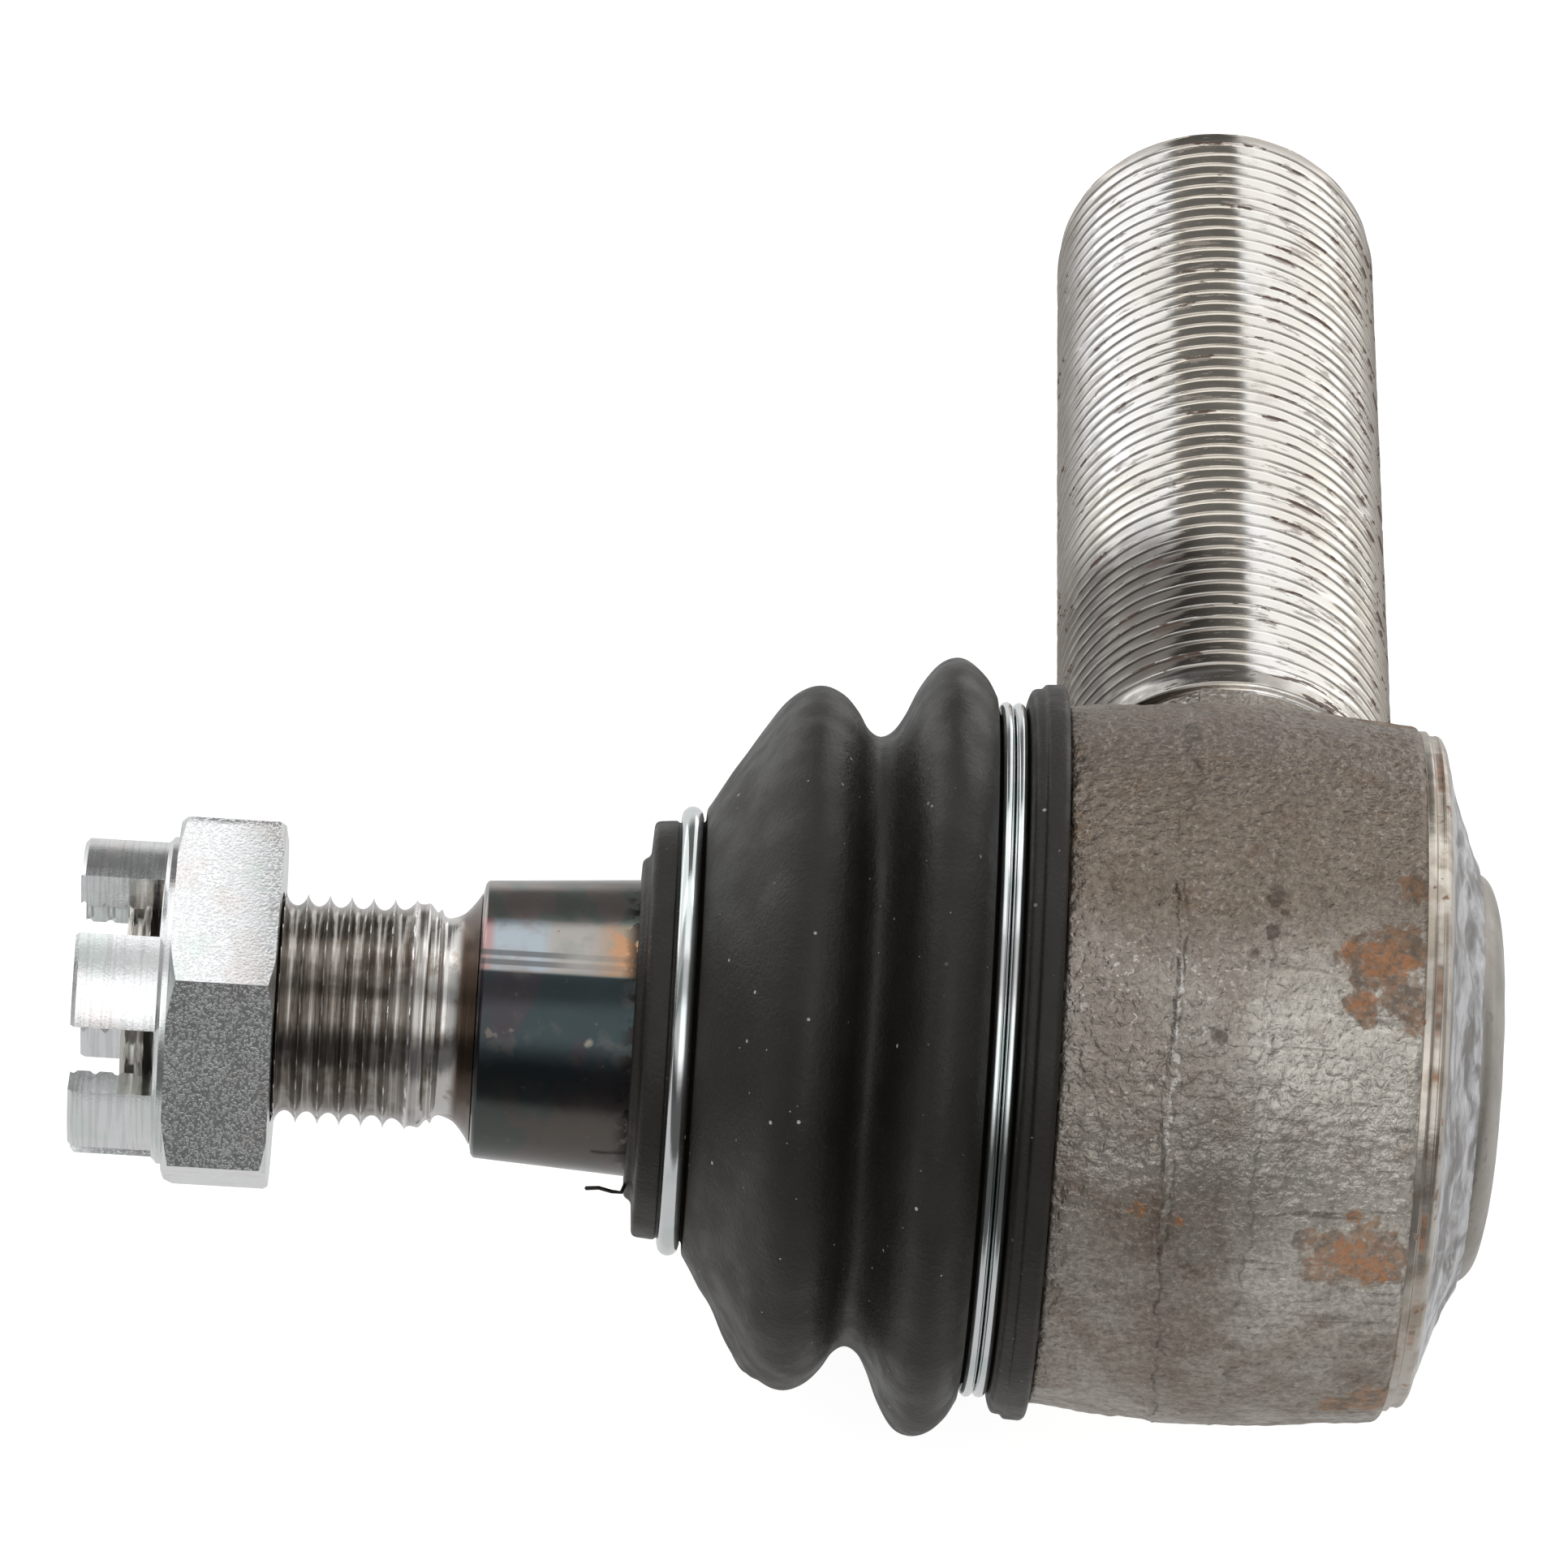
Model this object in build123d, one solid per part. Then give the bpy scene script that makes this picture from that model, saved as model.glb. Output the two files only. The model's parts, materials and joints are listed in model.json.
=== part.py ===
from build123d import *
import os
from math import cos, radians, sqrt

# Tie rod end: a forged housing with a threaded shank, and a ball stud that swings in it.
#
# Frame, in millimetres. The part lies on its side: the stud points along -X, the shank along +Y,
# and +Z is up. The origin is on the stud's axis at the gauge plane of its taper, where the taper
# is 20 mm across. Stations along the stud are counted from the ball's centre towards the nut,
# so a station s is at X = GAUGE_STATION - s.

# Stud: ball, neck, 1:8 taper, relief and M16x1.5 thread
BALL_R = 14.0
BALL_FLAT_STATION = -12.0
NECK_R = 7.5
NECK_END_STATION = 30.0
TAPER_PER_MM = 1 / 16
TAPER_START_STATION = 37.5
TAPER_END_STATION = 51.7
GAUGE_STATION = 44.5
GAUGE_R = 10.0
RELIEF_R = 6.8
RELIEF_START_STATION = 53.6
RELIEF_END_STATION = 54.6
STUD_THREAD_R = 8.0
STUD_THREAD_STATION = 55.2
STUD_END_STATION = 76.1
STUD_CHAMFER = 1.0
TAPER_CHAMFER = 0.4
FILLET_START = (1.2, 0.35)
FILLET_MIDDLE = (0.5, 0.9)
PIN_HOLE_R = 2.1
PIN_HOLE_STATION = 71.3

# Thin castle nut, M16x1.5, 24 mm across flats
NUT_STATION = 65.7
NUT_HEX_HEIGHT = 7.2
NUT_COLLAR_HEIGHT = 0.8
NUT_HEIGHT = 13.7
NUT_ACROSS_FLATS = 24.0
NUT_CHAMFER_R = 11.5
NUT_CHAMFER_SLOPE = 0.5
CASTLE_CHAMFER = 0.4
CASTLE_R = 10.9
SLOT_COUNT = 6
SLOT_WIDTH = 4.8
NUT_BORE_R = 8.08
NUT_TURN = 11.3

# Housing: the eye round the ball, and the shank with its M24x1.5 thread
BORE_R = 17.0
BEARING_END_STATION = 7.7
EYE_FRONT_STATION = 12.7
EYE_FRONT_R = 24.0
LAND_R = 24.75
LAND_STATIONS = (-1.6, 3.8)
EYE_REAR_STATION = -11.8
EYE_REAR_R = 24.0
NECK_SEAT_R = 20.8
HOUSING_NOSE_STATION = 18.9
MOUTH_R = 16.9
THROAT_R = 12.8
EDGE_CHAMFER = 0.6
LIP_R = 22.9
LIP_CORNER_STATION = -13.1
LIP_THICKNESS = 0.6
LIP_MOUTH_R = 14.4
SHANK_ROOT = 20.0
SHANK_R = 12.0
SHANK_NECK_R = 11.4
SHANK_NECK_END = 29.0
SHANK_LENGTH = 104.0
SHANK_CHAMFER = 0.6
WEB_X = 43.75
WEB_WIDTH = 4.2
WEB_END = 28.5

# Cover plate, its seal, and the cup spring behind the pressure seat
PLATE_R = 19.4
PLATE_SEAT_STATION = -12.6
PLATE_RIM_STATION = -13.55
PLATE_SHOULDER_STATION = -15.65
DOME_WALL_R = 14.05
DOME_WALL_END_STATION = -16.55
DOME_EDGE_R = 11.6
DOME_EDGE_STATION = -17.85
DOME_STATION = -18.4
DOME_BULGE = 0.14
CORNER_BULGE = 0.45
PLATE_BACK = [(16.6, -12.6), (12.5, -14.3), (0, -16.3)]
SEAL_RING_R = 18.25
SEAL_SECTION_R = 0.74
SEAL_GROOVE_HALF_WIDTH = 0.8
SEAL_GROOVE_DEPTH = 1.5
BALL_CLEARANCE = 0.1
BEARING_OPENING_R = 12.1
BEARING_BACK_STATION = -0.3
SEAT_CLEARANCE = 0.07
SEAT_FRONT_STATION = -0.7
SEAT_BACK_STATION = -10.2
SEAT_CHAMFER = 0.8
SPRING_R = (10.5, 16.3)
SPRING_RISE = 1.1
SPRING_THICKNESS = 1.1
SPRING_GAP = 0.1

# Dust boot and what holds it
BOOT_LIP_R = 25.3
BOOT_START_STATION = 12.8
BOOT_SEAT_R = 20.9
BASE_GROOVE_R = 23.0
BASE_CLIP_STATION = 16.45
BASE_CLIP_WIDTH = 1.7
BASE_CLIP_R = 23.8
CLIP_GAP = 0.05
NECK_CLIP_STATION = 37.95
NECK_CLIP_R = 14.5
NECK_CLIP_SECTION_R = 0.65
BUSH_R = 12.2
BUSH_STATIONS = (36.8, 40.5)
BUSH_CLEARANCE = 0.1

# The boot's section: on each fold the arc's start, crest and end, as (r, s) points
OUTER_FOLD_2 = [(24.4, 17.9), (26.8, 20.5), (24.4, 23.1)]
OUTER_VALLEY = [(22.3, 24.0), (21.0, 25.4), (22.0, 26.7)]
OUTER_FOLD_1 = [(22.9, 27.1), (24.2, 29.4), (23.3, 31.3)]
OUTER_CONE_END = (15.2, 36.8)
INNER_CONE_END = (13.2, 35.9)
INNER_FOLD_1 = [(21.5, 30.3), (22.1, 29.4), (21.2, 28.3)]
INNER_VALLEY = [(20.2, 27.6), (18.9, 25.4), (20.4, 23.0)]
INNER_FOLD_2 = [(22.6, 22.3), (24.6, 20.5), (22.6, 19.2)]
NECK_COLLAR = [(13.8, 37.1), (13.8, 38.8), (14.3, 38.9), (14.3, 40.6)]
SEAL_LIP = [(11.6, 40.7), (11.6, 41.2)]
SEAL_LIP_STATIONS = (41.2, 40.8)
SEAL_LIP_GAP = 0.1
BUSH_POCKET = [(12.4, 40.7), (12.4, 36.6)]
LIP_END_STATION = 15.1
BASE_GROOVE_STATIONS = (15.4, 17.5)
INNER_END = (20.9, 18.7)

# Local Z is the stud's axis, pointing at the nut; local X is +Z of the part.
ON_STUD = Location((GAUGE_STATION, 0, 0), (0, -90, 0))


def taper_r(station):
    """The taper's radius at a station."""
    return GAUGE_R + (GAUGE_STATION - station) * TAPER_PER_MM


def ball_point(radius, station):
    """The point (r, s) of a sphere about the ball's centre at a station."""
    return (sqrt(radius ** 2 - station ** 2), station)


def on_arc(start, end, bulge):
    """The point that stands out behind the middle of the chord from start to end by bulge."""
    (r0, s0), (r1, s1) = start, end
    length = sqrt((r1 - r0) ** 2 + (s1 - s0) ** 2)
    across = ((s1 - s0) / length, -(r1 - r0) / length)
    return ((r0 + r1) / 2 + bulge * across[0], (s0 + s1) / 2 + bulge * across[1])


def section(*pieces):
    """A face in the local XZ plane. A piece is a list of (r, s) corners, or ("arc", start, middle, end)."""
    edges = []
    for piece in pieces:
        if piece[0] == "arc":
            edges.append(ThreePointArc(*[(r, 0, s) for r, s in piece[1:]]))
        else:
            edges.append(Polyline(*[(r, 0, s) for r, s in piece]))
    return make_face(edges)


def turned(*pieces):
    """A solid of revolution about the stud's axis, in its place."""
    return ON_STUD * revolve(section(*pieces), Axis.Z, 360)


def along_shank(radius, start, end):
    """A cylinder on the shank's axis, between two distances from the ball's centre."""
    middle = Location((GAUGE_STATION, (start + end) / 2, 0), (-90, 0, 0))
    return middle * Cylinder(radius, end - start)


def make_housing():
    """The forging: an eye bored from behind, a nose that the boot sits on, and the shank."""
    share = (LIP_MOUTH_R - DOME_WALL_R) / (PLATE_R - DOME_WALL_R)
    mouth = PLATE_SHOULDER_STATION + share * (PLATE_RIM_STATION - PLATE_SHOULDER_STATION)
    eye = turned([
        (THROAT_R, BEARING_END_STATION),
        (MOUTH_R, HOUSING_NOSE_STATION),
        (NECK_SEAT_R - EDGE_CHAMFER, HOUSING_NOSE_STATION),
        (NECK_SEAT_R, HOUSING_NOSE_STATION - EDGE_CHAMFER),
        (NECK_SEAT_R, EYE_FRONT_STATION),
        (EYE_FRONT_R - EDGE_CHAMFER, EYE_FRONT_STATION),
        (EYE_FRONT_R, EYE_FRONT_STATION - EDGE_CHAMFER),
        (LAND_R, LAND_STATIONS[1]),
        (LAND_R, LAND_STATIONS[0]),
        (EYE_REAR_R, EYE_REAR_STATION),
        (LIP_R, EYE_REAR_STATION),
        (LIP_R, LIP_CORNER_STATION),
        (PLATE_R, PLATE_RIM_STATION - LIP_THICKNESS),
        (LIP_MOUTH_R, mouth - LIP_THICKNESS),
        (LIP_MOUTH_R, mouth),
        (PLATE_R, PLATE_RIM_STATION),
        (PLATE_R, PLATE_SEAT_STATION),
        (SEAL_RING_R + SEAL_GROOVE_HALF_WIDTH, PLATE_SEAT_STATION),
        (SEAL_RING_R + SEAL_GROOVE_HALF_WIDTH, PLATE_SEAT_STATION + SEAL_GROOVE_DEPTH),
        (SEAL_RING_R - SEAL_GROOVE_HALF_WIDTH, PLATE_SEAT_STATION + SEAL_GROOVE_DEPTH),
        (SEAL_RING_R - SEAL_GROOVE_HALF_WIDTH, PLATE_SEAT_STATION),
        (BORE_R, PLATE_SEAT_STATION),
        (BORE_R, BEARING_END_STATION),
        (THROAT_R, BEARING_END_STATION),
    ])
    neck = along_shank(SHANK_NECK_R, SHANK_ROOT, SHANK_NECK_END)
    shank = along_shank(SHANK_R, SHANK_NECK_END, SHANK_LENGTH)
    free_end = shank.edges().filter_by(GeomType.CIRCLE).sort_by(Axis.Y)[-1]
    shank = chamfer(free_end, SHANK_CHAMFER)
    web = Pos(WEB_X, (SHANK_ROOT + WEB_END) / 2, 0) * Box(WEB_WIDTH, WEB_END - SHANK_ROOT, 2 * SHANK_R)
    return eye + neck + web + shank


def make_front_bearing():
    """The bearing ring that the ball turns in, in front of its equator."""
    r = BALL_R + BALL_CLEARANCE
    lip = (BEARING_OPENING_R, sqrt(r ** 2 - BEARING_OPENING_R ** 2))
    back = ball_point(r, BEARING_BACK_STATION)
    return turned(
        ("arc", back, ball_point(r, lip[1] / 2), lip),
        [
            lip,
            (BEARING_OPENING_R, BEARING_END_STATION),
            (BORE_R, BEARING_END_STATION),
            (BORE_R, BEARING_BACK_STATION),
            back,
        ],
    )


def make_pressure_seat():
    """The seat behind the ball. It is free to turn in the bore."""
    r = BALL_R + BALL_CLEARANCE
    outer = BORE_R - SEAT_CLEARANCE
    front = ball_point(r, SEAT_FRONT_STATION)
    back = ball_point(r, SEAT_BACK_STATION)
    return turned(
        ("arc", front, ball_point(r, SEAT_BACK_STATION / 2), back),
        [
            back,
            (outer - SEAT_CHAMFER, SEAT_BACK_STATION),
            (outer, SEAT_BACK_STATION + SEAT_CHAMFER),
            (outer, SEAT_FRONT_STATION),
            front,
        ],
    )


def make_cup_spring():
    """A disc spring: its inner edge bears on the seat and its outer edge on the cover."""
    inner, outer = SPRING_R
    start = SEAT_BACK_STATION - SPRING_GAP
    return turned([
        (inner, start),
        (outer, start - SPRING_RISE),
        (outer, start - SPRING_RISE - SPRING_THICKNESS),
        (inner, start - SPRING_THICKNESS),
        (inner, start),
    ])


def make_cover_plate():
    """The domed plate that closes the bore. The eye's lip is rolled over its edge."""
    apex = (0, DOME_STATION)
    edge = (DOME_EDGE_R, DOME_EDGE_STATION)
    wall_end = (DOME_WALL_R, DOME_WALL_END_STATION)
    return turned(
        ("arc", apex, on_arc(apex, edge, DOME_BULGE), edge),
        ("arc", edge, on_arc(edge, wall_end, CORNER_BULGE), wall_end),
        [
            wall_end,
            (DOME_WALL_R, PLATE_SHOULDER_STATION),
            (PLATE_R, PLATE_RIM_STATION),
            (PLATE_R, PLATE_SEAT_STATION),
            *PLATE_BACK,
            apex,
        ],
    )


def make_cover_seal():
    """The O-ring under the cover's edge."""
    ring = Torus(SEAL_RING_R, SEAL_SECTION_R)
    return ON_STUD * (Pos(0, 0, PLATE_SEAT_STATION + SEAL_SECTION_R + 0.01) * ring)


def make_ball_stud():
    """Ball, neck, taper, relief and thread, turned in one piece, with a hole for a split pin."""
    flat = ball_point(BALL_R, BALL_FLAT_STATION)
    neck_start = (NECK_R, sqrt(BALL_R ** 2 - NECK_R ** 2))
    end_r = taper_r(TAPER_END_STATION)
    fillet_start = (end_r - FILLET_START[0], TAPER_END_STATION + FILLET_START[1])
    fillet_middle = (RELIEF_R + FILLET_MIDDLE[0], TAPER_END_STATION + FILLET_MIDDLE[1])
    stud = turned(
        [(0, BALL_FLAT_STATION), flat],
        ("arc", flat, (BALL_R, 0), neck_start),
        [
            neck_start,
            (NECK_R, NECK_END_STATION),
            (taper_r(TAPER_START_STATION), TAPER_START_STATION),
            (end_r + TAPER_CHAMFER * TAPER_PER_MM, TAPER_END_STATION - TAPER_CHAMFER),
            (end_r - TAPER_CHAMFER, TAPER_END_STATION),
            fillet_start,
        ],
        ("arc", fillet_start, fillet_middle, (RELIEF_R, RELIEF_START_STATION)),
        [
            (RELIEF_R, RELIEF_START_STATION),
            (RELIEF_R, RELIEF_END_STATION),
            (STUD_THREAD_R, STUD_THREAD_STATION),
            (STUD_THREAD_R, STUD_END_STATION - STUD_CHAMFER),
            (STUD_THREAD_R - STUD_CHAMFER, STUD_END_STATION),
            (0, STUD_END_STATION),
            (0, BALL_FLAT_STATION),
        ],
    )
    hole = Location((GAUGE_STATION - PIN_HOLE_STATION, 0, 0)) * Cylinder(PIN_HOLE_R, 4 * STUD_THREAD_R)
    return stud - hole


def make_castle_nut():
    """A hexagon below, and a round castle above with a slot over each flat."""
    corner_r = NUT_ACROSS_FLATS / 2 / cos(radians(30))
    slope = (corner_r - NUT_CHAMFER_R) * NUT_CHAMFER_SLOPE
    hexagon = extrude(RegularPolygon(corner_r, 6), NUT_HEX_HEIGHT)
    envelope = revolve(section([
        (0, 0),
        (NUT_CHAMFER_R, 0),
        (corner_r, slope),
        (corner_r, NUT_HEX_HEIGHT - slope),
        (NUT_CHAMFER_R, NUT_HEX_HEIGHT),
        (0, NUT_HEX_HEIGHT),
        (0, 0),
    ]), Axis.Z, 360)
    castle_height = NUT_HEIGHT - NUT_HEX_HEIGHT
    castle = Pos(0, 0, NUT_HEX_HEIGHT + castle_height / 2) * Cylinder(CASTLE_R, castle_height)
    castle = chamfer(castle.edges().sort_by(Axis.Z)[-1], CASTLE_CHAMFER)
    nut = (hexagon & envelope) + castle
    nut -= Pos(0, 0, NUT_HEIGHT / 2) * Cylinder(NUT_BORE_R, 2 * NUT_HEIGHT)
    slot_floor = NUT_HEX_HEIGHT + NUT_COLLAR_HEIGHT
    slot_depth = NUT_HEIGHT - slot_floor
    for i in range(SLOT_COUNT // 2):
        across = Box(4 * CASTLE_R, SLOT_WIDTH, 2 * slot_depth)
        nut -= Rot(0, 0, 30 + 60 * i) * Pos(0, 0, NUT_HEIGHT) * across
    return ON_STUD * Pos(0, 0, NUT_STATION) * Rot(0, 0, NUT_TURN) * nut


def make_dust_boot():
    """The rubber bellows, from its lip against the eye, over two folds, to its lip on the taper."""
    seal = [(taper_r(station) + SEAL_LIP_GAP, station) for station in SEAL_LIP_STATIONS]
    base = [
        (BOOT_SEAT_R, BOOT_START_STATION),
        (BOOT_LIP_R, BOOT_START_STATION),
        (BOOT_LIP_R, LIP_END_STATION),
        (BASE_GROOVE_R, BASE_GROOVE_STATIONS[0]),
        (BASE_GROOVE_R, BASE_GROOVE_STATIONS[1]),
        OUTER_FOLD_2[0],
    ]
    return turned(
        base,
        ("arc", *OUTER_FOLD_2),
        [OUTER_FOLD_2[-1], OUTER_VALLEY[0]],
        ("arc", *OUTER_VALLEY),
        [OUTER_VALLEY[-1], OUTER_FOLD_1[0]],
        ("arc", *OUTER_FOLD_1),
        [OUTER_FOLD_1[-1], OUTER_CONE_END, *NECK_COLLAR, *SEAL_LIP, *seal],
        [seal[-1], *BUSH_POCKET, INNER_CONE_END, INNER_FOLD_1[0]],
        ("arc", *INNER_FOLD_1),
        [INNER_FOLD_1[-1], INNER_VALLEY[0]],
        ("arc", *INNER_VALLEY),
        [INNER_VALLEY[-1], INNER_FOLD_2[0]],
        ("arc", *INNER_FOLD_2),
        [INNER_FOLD_2[-1], INNER_END, base[0]],
    )


def make_base_clip():
    """The spring ring that holds the boot on the eye's nose."""
    half = BASE_CLIP_WIDTH / 2
    inner = BASE_GROOVE_R + CLIP_GAP
    return turned([
        (inner, BASE_CLIP_STATION - half),
        (BASE_CLIP_R, BASE_CLIP_STATION - half),
        (BASE_CLIP_R, BASE_CLIP_STATION + half),
        (inner, BASE_CLIP_STATION + half),
        (inner, BASE_CLIP_STATION - half),
    ])


def make_neck_clip():
    """The spring ring that grips the boot's neck."""
    return ON_STUD * (Pos(0, 0, NECK_CLIP_STATION) * Torus(NECK_CLIP_R, NECK_CLIP_SECTION_R))


def make_neck_bush():
    """The sleeve in the boot's neck, in which the taper can turn."""
    start, end = BUSH_STATIONS
    return turned([
        (taper_r(start) + BUSH_CLEARANCE, start),
        (BUSH_R, start),
        (BUSH_R, end),
        (taper_r(end) + BUSH_CLEARANCE, end),
        (taper_r(start) + BUSH_CLEARANCE, start),
    ])


NODES = {
    "housing": make_housing,
    "front_bearing": make_front_bearing,
    "pressure_seat": make_pressure_seat,
    "cup_spring": make_cup_spring,
    "cover_plate": make_cover_plate,
    "cover_seal": make_cover_seal,
    "ball_stud": make_ball_stud,
    "castle_nut": make_castle_nut,
    "dust_boot": make_dust_boot,
    "boot_base_clip": make_base_clip,
    "boot_neck_clip": make_neck_clip,
    "boot_neck_bush": make_neck_bush,
}

os.makedirs("parts", exist_ok=True)
for name, make in NODES.items():
    export_step(make(), f"parts/{name}.step")
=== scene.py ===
import json
import math

import bmesh
import bpy
import numpy as np
from mathutils import Matrix, Vector


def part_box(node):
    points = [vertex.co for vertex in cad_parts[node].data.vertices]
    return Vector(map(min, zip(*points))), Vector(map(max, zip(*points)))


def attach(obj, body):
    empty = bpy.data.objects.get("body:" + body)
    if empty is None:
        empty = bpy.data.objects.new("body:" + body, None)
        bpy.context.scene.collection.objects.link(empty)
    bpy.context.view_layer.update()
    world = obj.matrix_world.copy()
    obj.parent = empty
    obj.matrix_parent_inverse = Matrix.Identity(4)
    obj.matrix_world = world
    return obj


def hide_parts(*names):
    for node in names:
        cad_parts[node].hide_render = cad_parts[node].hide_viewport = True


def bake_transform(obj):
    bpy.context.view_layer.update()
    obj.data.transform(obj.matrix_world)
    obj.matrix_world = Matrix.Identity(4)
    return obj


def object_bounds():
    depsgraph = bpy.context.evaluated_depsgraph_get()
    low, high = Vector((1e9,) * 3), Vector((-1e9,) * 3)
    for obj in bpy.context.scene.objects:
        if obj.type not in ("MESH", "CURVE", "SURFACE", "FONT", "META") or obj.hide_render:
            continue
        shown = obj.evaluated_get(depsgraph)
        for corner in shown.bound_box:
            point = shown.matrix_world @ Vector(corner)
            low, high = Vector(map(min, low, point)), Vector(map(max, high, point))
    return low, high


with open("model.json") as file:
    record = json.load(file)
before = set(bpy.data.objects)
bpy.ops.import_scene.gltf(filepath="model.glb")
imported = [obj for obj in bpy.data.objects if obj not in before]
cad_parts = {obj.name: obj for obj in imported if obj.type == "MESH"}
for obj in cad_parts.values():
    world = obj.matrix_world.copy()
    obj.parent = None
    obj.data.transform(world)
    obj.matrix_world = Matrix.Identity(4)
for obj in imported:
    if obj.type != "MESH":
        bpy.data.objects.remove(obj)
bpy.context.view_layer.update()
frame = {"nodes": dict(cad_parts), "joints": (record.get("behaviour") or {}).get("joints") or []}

# Tie rod end, as it lies on a pale floor: the stud points along -X and the shank along +Y.
# Lengths in this file are millimetres unless a name ends in _m. Along the stud, a station is
# counted from the ball's centre towards the nut; along the shank, from the ball's centre too.

JOINTS = {joint["name"]: joint for joint in frame["joints"]}
BALL_X = JOINTS["stud_tilt"]["pos_m"][0] * 1000
PITCH = 1.5
SHANK_R = 12.0
TAU = 2 * math.pi
SQUARE = ((-1, -1), (1, -1), (1, 1), (-1, 1))


def stations(node):
    """The first and last station along the stud of a CAD node."""
    low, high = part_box(node)
    return BALL_X - high.x * 1000, BALL_X - low.x * 1000


NUT_START, NUT_END = stations("castle_nut")
STUD_END = stations("ball_stud")[1]
BOOT_START = stations("dust_boot")[0]
NECK_CLIP = sum(stations("boot_neck_clip")) / 2
BASE_CLIP = sum(stations("boot_base_clip")) / 2
DOME_APEX = stations("cover_plate")[0]
SHANK_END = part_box("housing")[1].y * 1000
FLOOR_Z_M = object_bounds()[0].z


# ---- mesh helpers

def on_stud(radius, station, angle):
    """Points in metres about the stud's axis; angle 0 is up, and a quarter turn is to the shank."""
    along = (BALL_X - station) + 0 * radius
    return np.stack([along, radius * np.sin(angle), radius * np.cos(angle)], -1) / 1000


def on_shank(radius, length, angle):
    """Points in metres about the shank's axis; angle 0 is up."""
    return np.stack([BALL_X + radius * np.sin(angle), length + 0 * radius, radius * np.cos(angle)], -1) / 1000


def show(name, data):
    """A new object in the scene, of a mesh or a camera."""
    made = bpy.data.objects.new(name, data)
    bpy.context.scene.collection.objects.link(made)
    return made


def clean_mesh(name, points, quads, merge, fill=False):
    """A mesh from arrays of points and faces: doubles merged, slivers gone and, if asked, holes closed."""
    mesh = bpy.data.meshes.new(name)
    mesh.from_pydata(points.reshape(-1, 3).tolist(), [], quads.tolist())
    made = bmesh.new()
    made.from_mesh(mesh)
    bmesh.ops.remove_doubles(made, verts=made.verts, dist=merge)
    bmesh.ops.dissolve_degenerate(made, edges=made.edges, dist=merge)
    if fill:
        bmesh.ops.holes_fill(made, edges=[edge for edge in made.edges if edge.is_boundary])
    bmesh.ops.recalc_face_normals(made, faces=made.faces)
    made.to_mesh(mesh)
    made.free()
    return mesh


def dress(mesh, material, sharp):
    """Shades a mesh smooth, but for edges of more than sharp degrees, and gives it its material."""
    mesh.polygons.foreach_set("use_smooth", np.ones(len(mesh.polygons), bool))
    mesh.set_sharp_from_angle(angle=math.radians(sharp))
    mesh.materials.append(material)


def piece(name, points, quads, material, sharp=38):
    """A finished object from arrays of points in metres and of faces."""
    mesh = clean_mesh(name, points, quads, 2e-7)
    dress(mesh, material, sharp)
    return show(name, mesh)


def grid_quads(rows, columns, wrap_rows=False):
    """Faces of a grid of rows by columns whose columns close on themselves."""
    i, j = np.meshgrid(np.arange(rows if wrap_rows else rows - 1), np.arange(columns), indexing="ij")
    i2, j2 = (i + 1) % rows, (j + 1) % columns
    row, next_row = i * columns, i2 * columns
    return np.stack([row + j, next_row + j, next_row + j2, row + j2], -1).reshape(-1, 4)


def angles(columns):
    return np.arange(columns) * TAU / columns


def eased(x, low, high):
    """0 below low, 1 above high, and a smooth step between them."""
    t = np.clip((x - low) / (high - low), 0, 1)
    return t * t * (3 - 2 * t)


def ripple(points, wavelength, seed):
    """A smooth random field over points in millimetres, about as high as 1 either way."""
    waves = 40
    rng = np.random.default_rng(seed)
    heading = rng.normal(size=(waves, 3))
    heading /= np.linalg.norm(heading, axis=1, keepdims=True)
    heading *= (TAU / wavelength * rng.uniform(0.6, 1.5, waves))[:, None]
    phase = rng.uniform(0, TAU, waves)
    total = np.zeros(points.shape[:-1])
    for wave, start in zip(heading, phase):
        total += np.sin(points @ wave + start)
    return total / math.sqrt(waves)


def rounded(corners, radius, steps=4):
    """A line of (r, s) points with its inner corners rounded off."""
    corners = [np.array(c, float) for c in corners]
    line = [corners[0]]
    for before, corner, after in zip(corners, corners[1:], corners[2:]):
        back, ahead = before - corner, after - corner
        cut = min(radius, np.linalg.norm(back) * 0.45, np.linalg.norm(ahead) * 0.45)
        start = corner + back / np.linalg.norm(back) * cut
        end = corner + ahead / np.linalg.norm(ahead) * cut
        for k in range(steps + 1):
            t = k / steps
            line.append((1 - t) ** 2 * start + 2 * t * (1 - t) * corner + t * t * end)
    return np.array(line + [corners[-1]])


def curved(knots, steps):
    """A smooth line through (r, s) points."""
    p = np.array([knots[0], *knots, knots[-1]], float)
    line = []
    for a, b, c, d in zip(p, p[1:], p[2:], p[3:]):
        for k in range(steps):
            t = k / steps
            line.append(0.5 * (2 * b + (c - a) * t + (2 * a - 5 * b + 4 * c - d) * t * t
                               + (3 * b - a - 3 * c + d) * t ** 3))
    return np.array(line + [p[-1]])


def spaced(line, step):
    """The same line with points about step apart, its own points kept."""
    out = [line[0]]
    for a, b in zip(line, line[1:]):
        n = max(1, math.ceil(np.linalg.norm(b - a) / step))
        out += [a + (b - a) * k / n for k in range(1, n + 1)]
    return np.array(out)


def lathe(name, line, columns, material, place=on_stud, warp=None, closed=False, sharp=38):
    """A surface of revolution. warp(r, s, angle) may change the radius and station."""
    radius = np.repeat(line[:, :1], columns, 1)
    station = np.repeat(line[:, 1:], columns, 1)
    turn = np.repeat(angles(columns)[None], len(line), 0)
    if warp:
        radius, station = warp(radius, station, turn)
    return piece(name, place(radius, station, turn), grid_quads(len(line), columns, closed), material, sharp)


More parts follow.
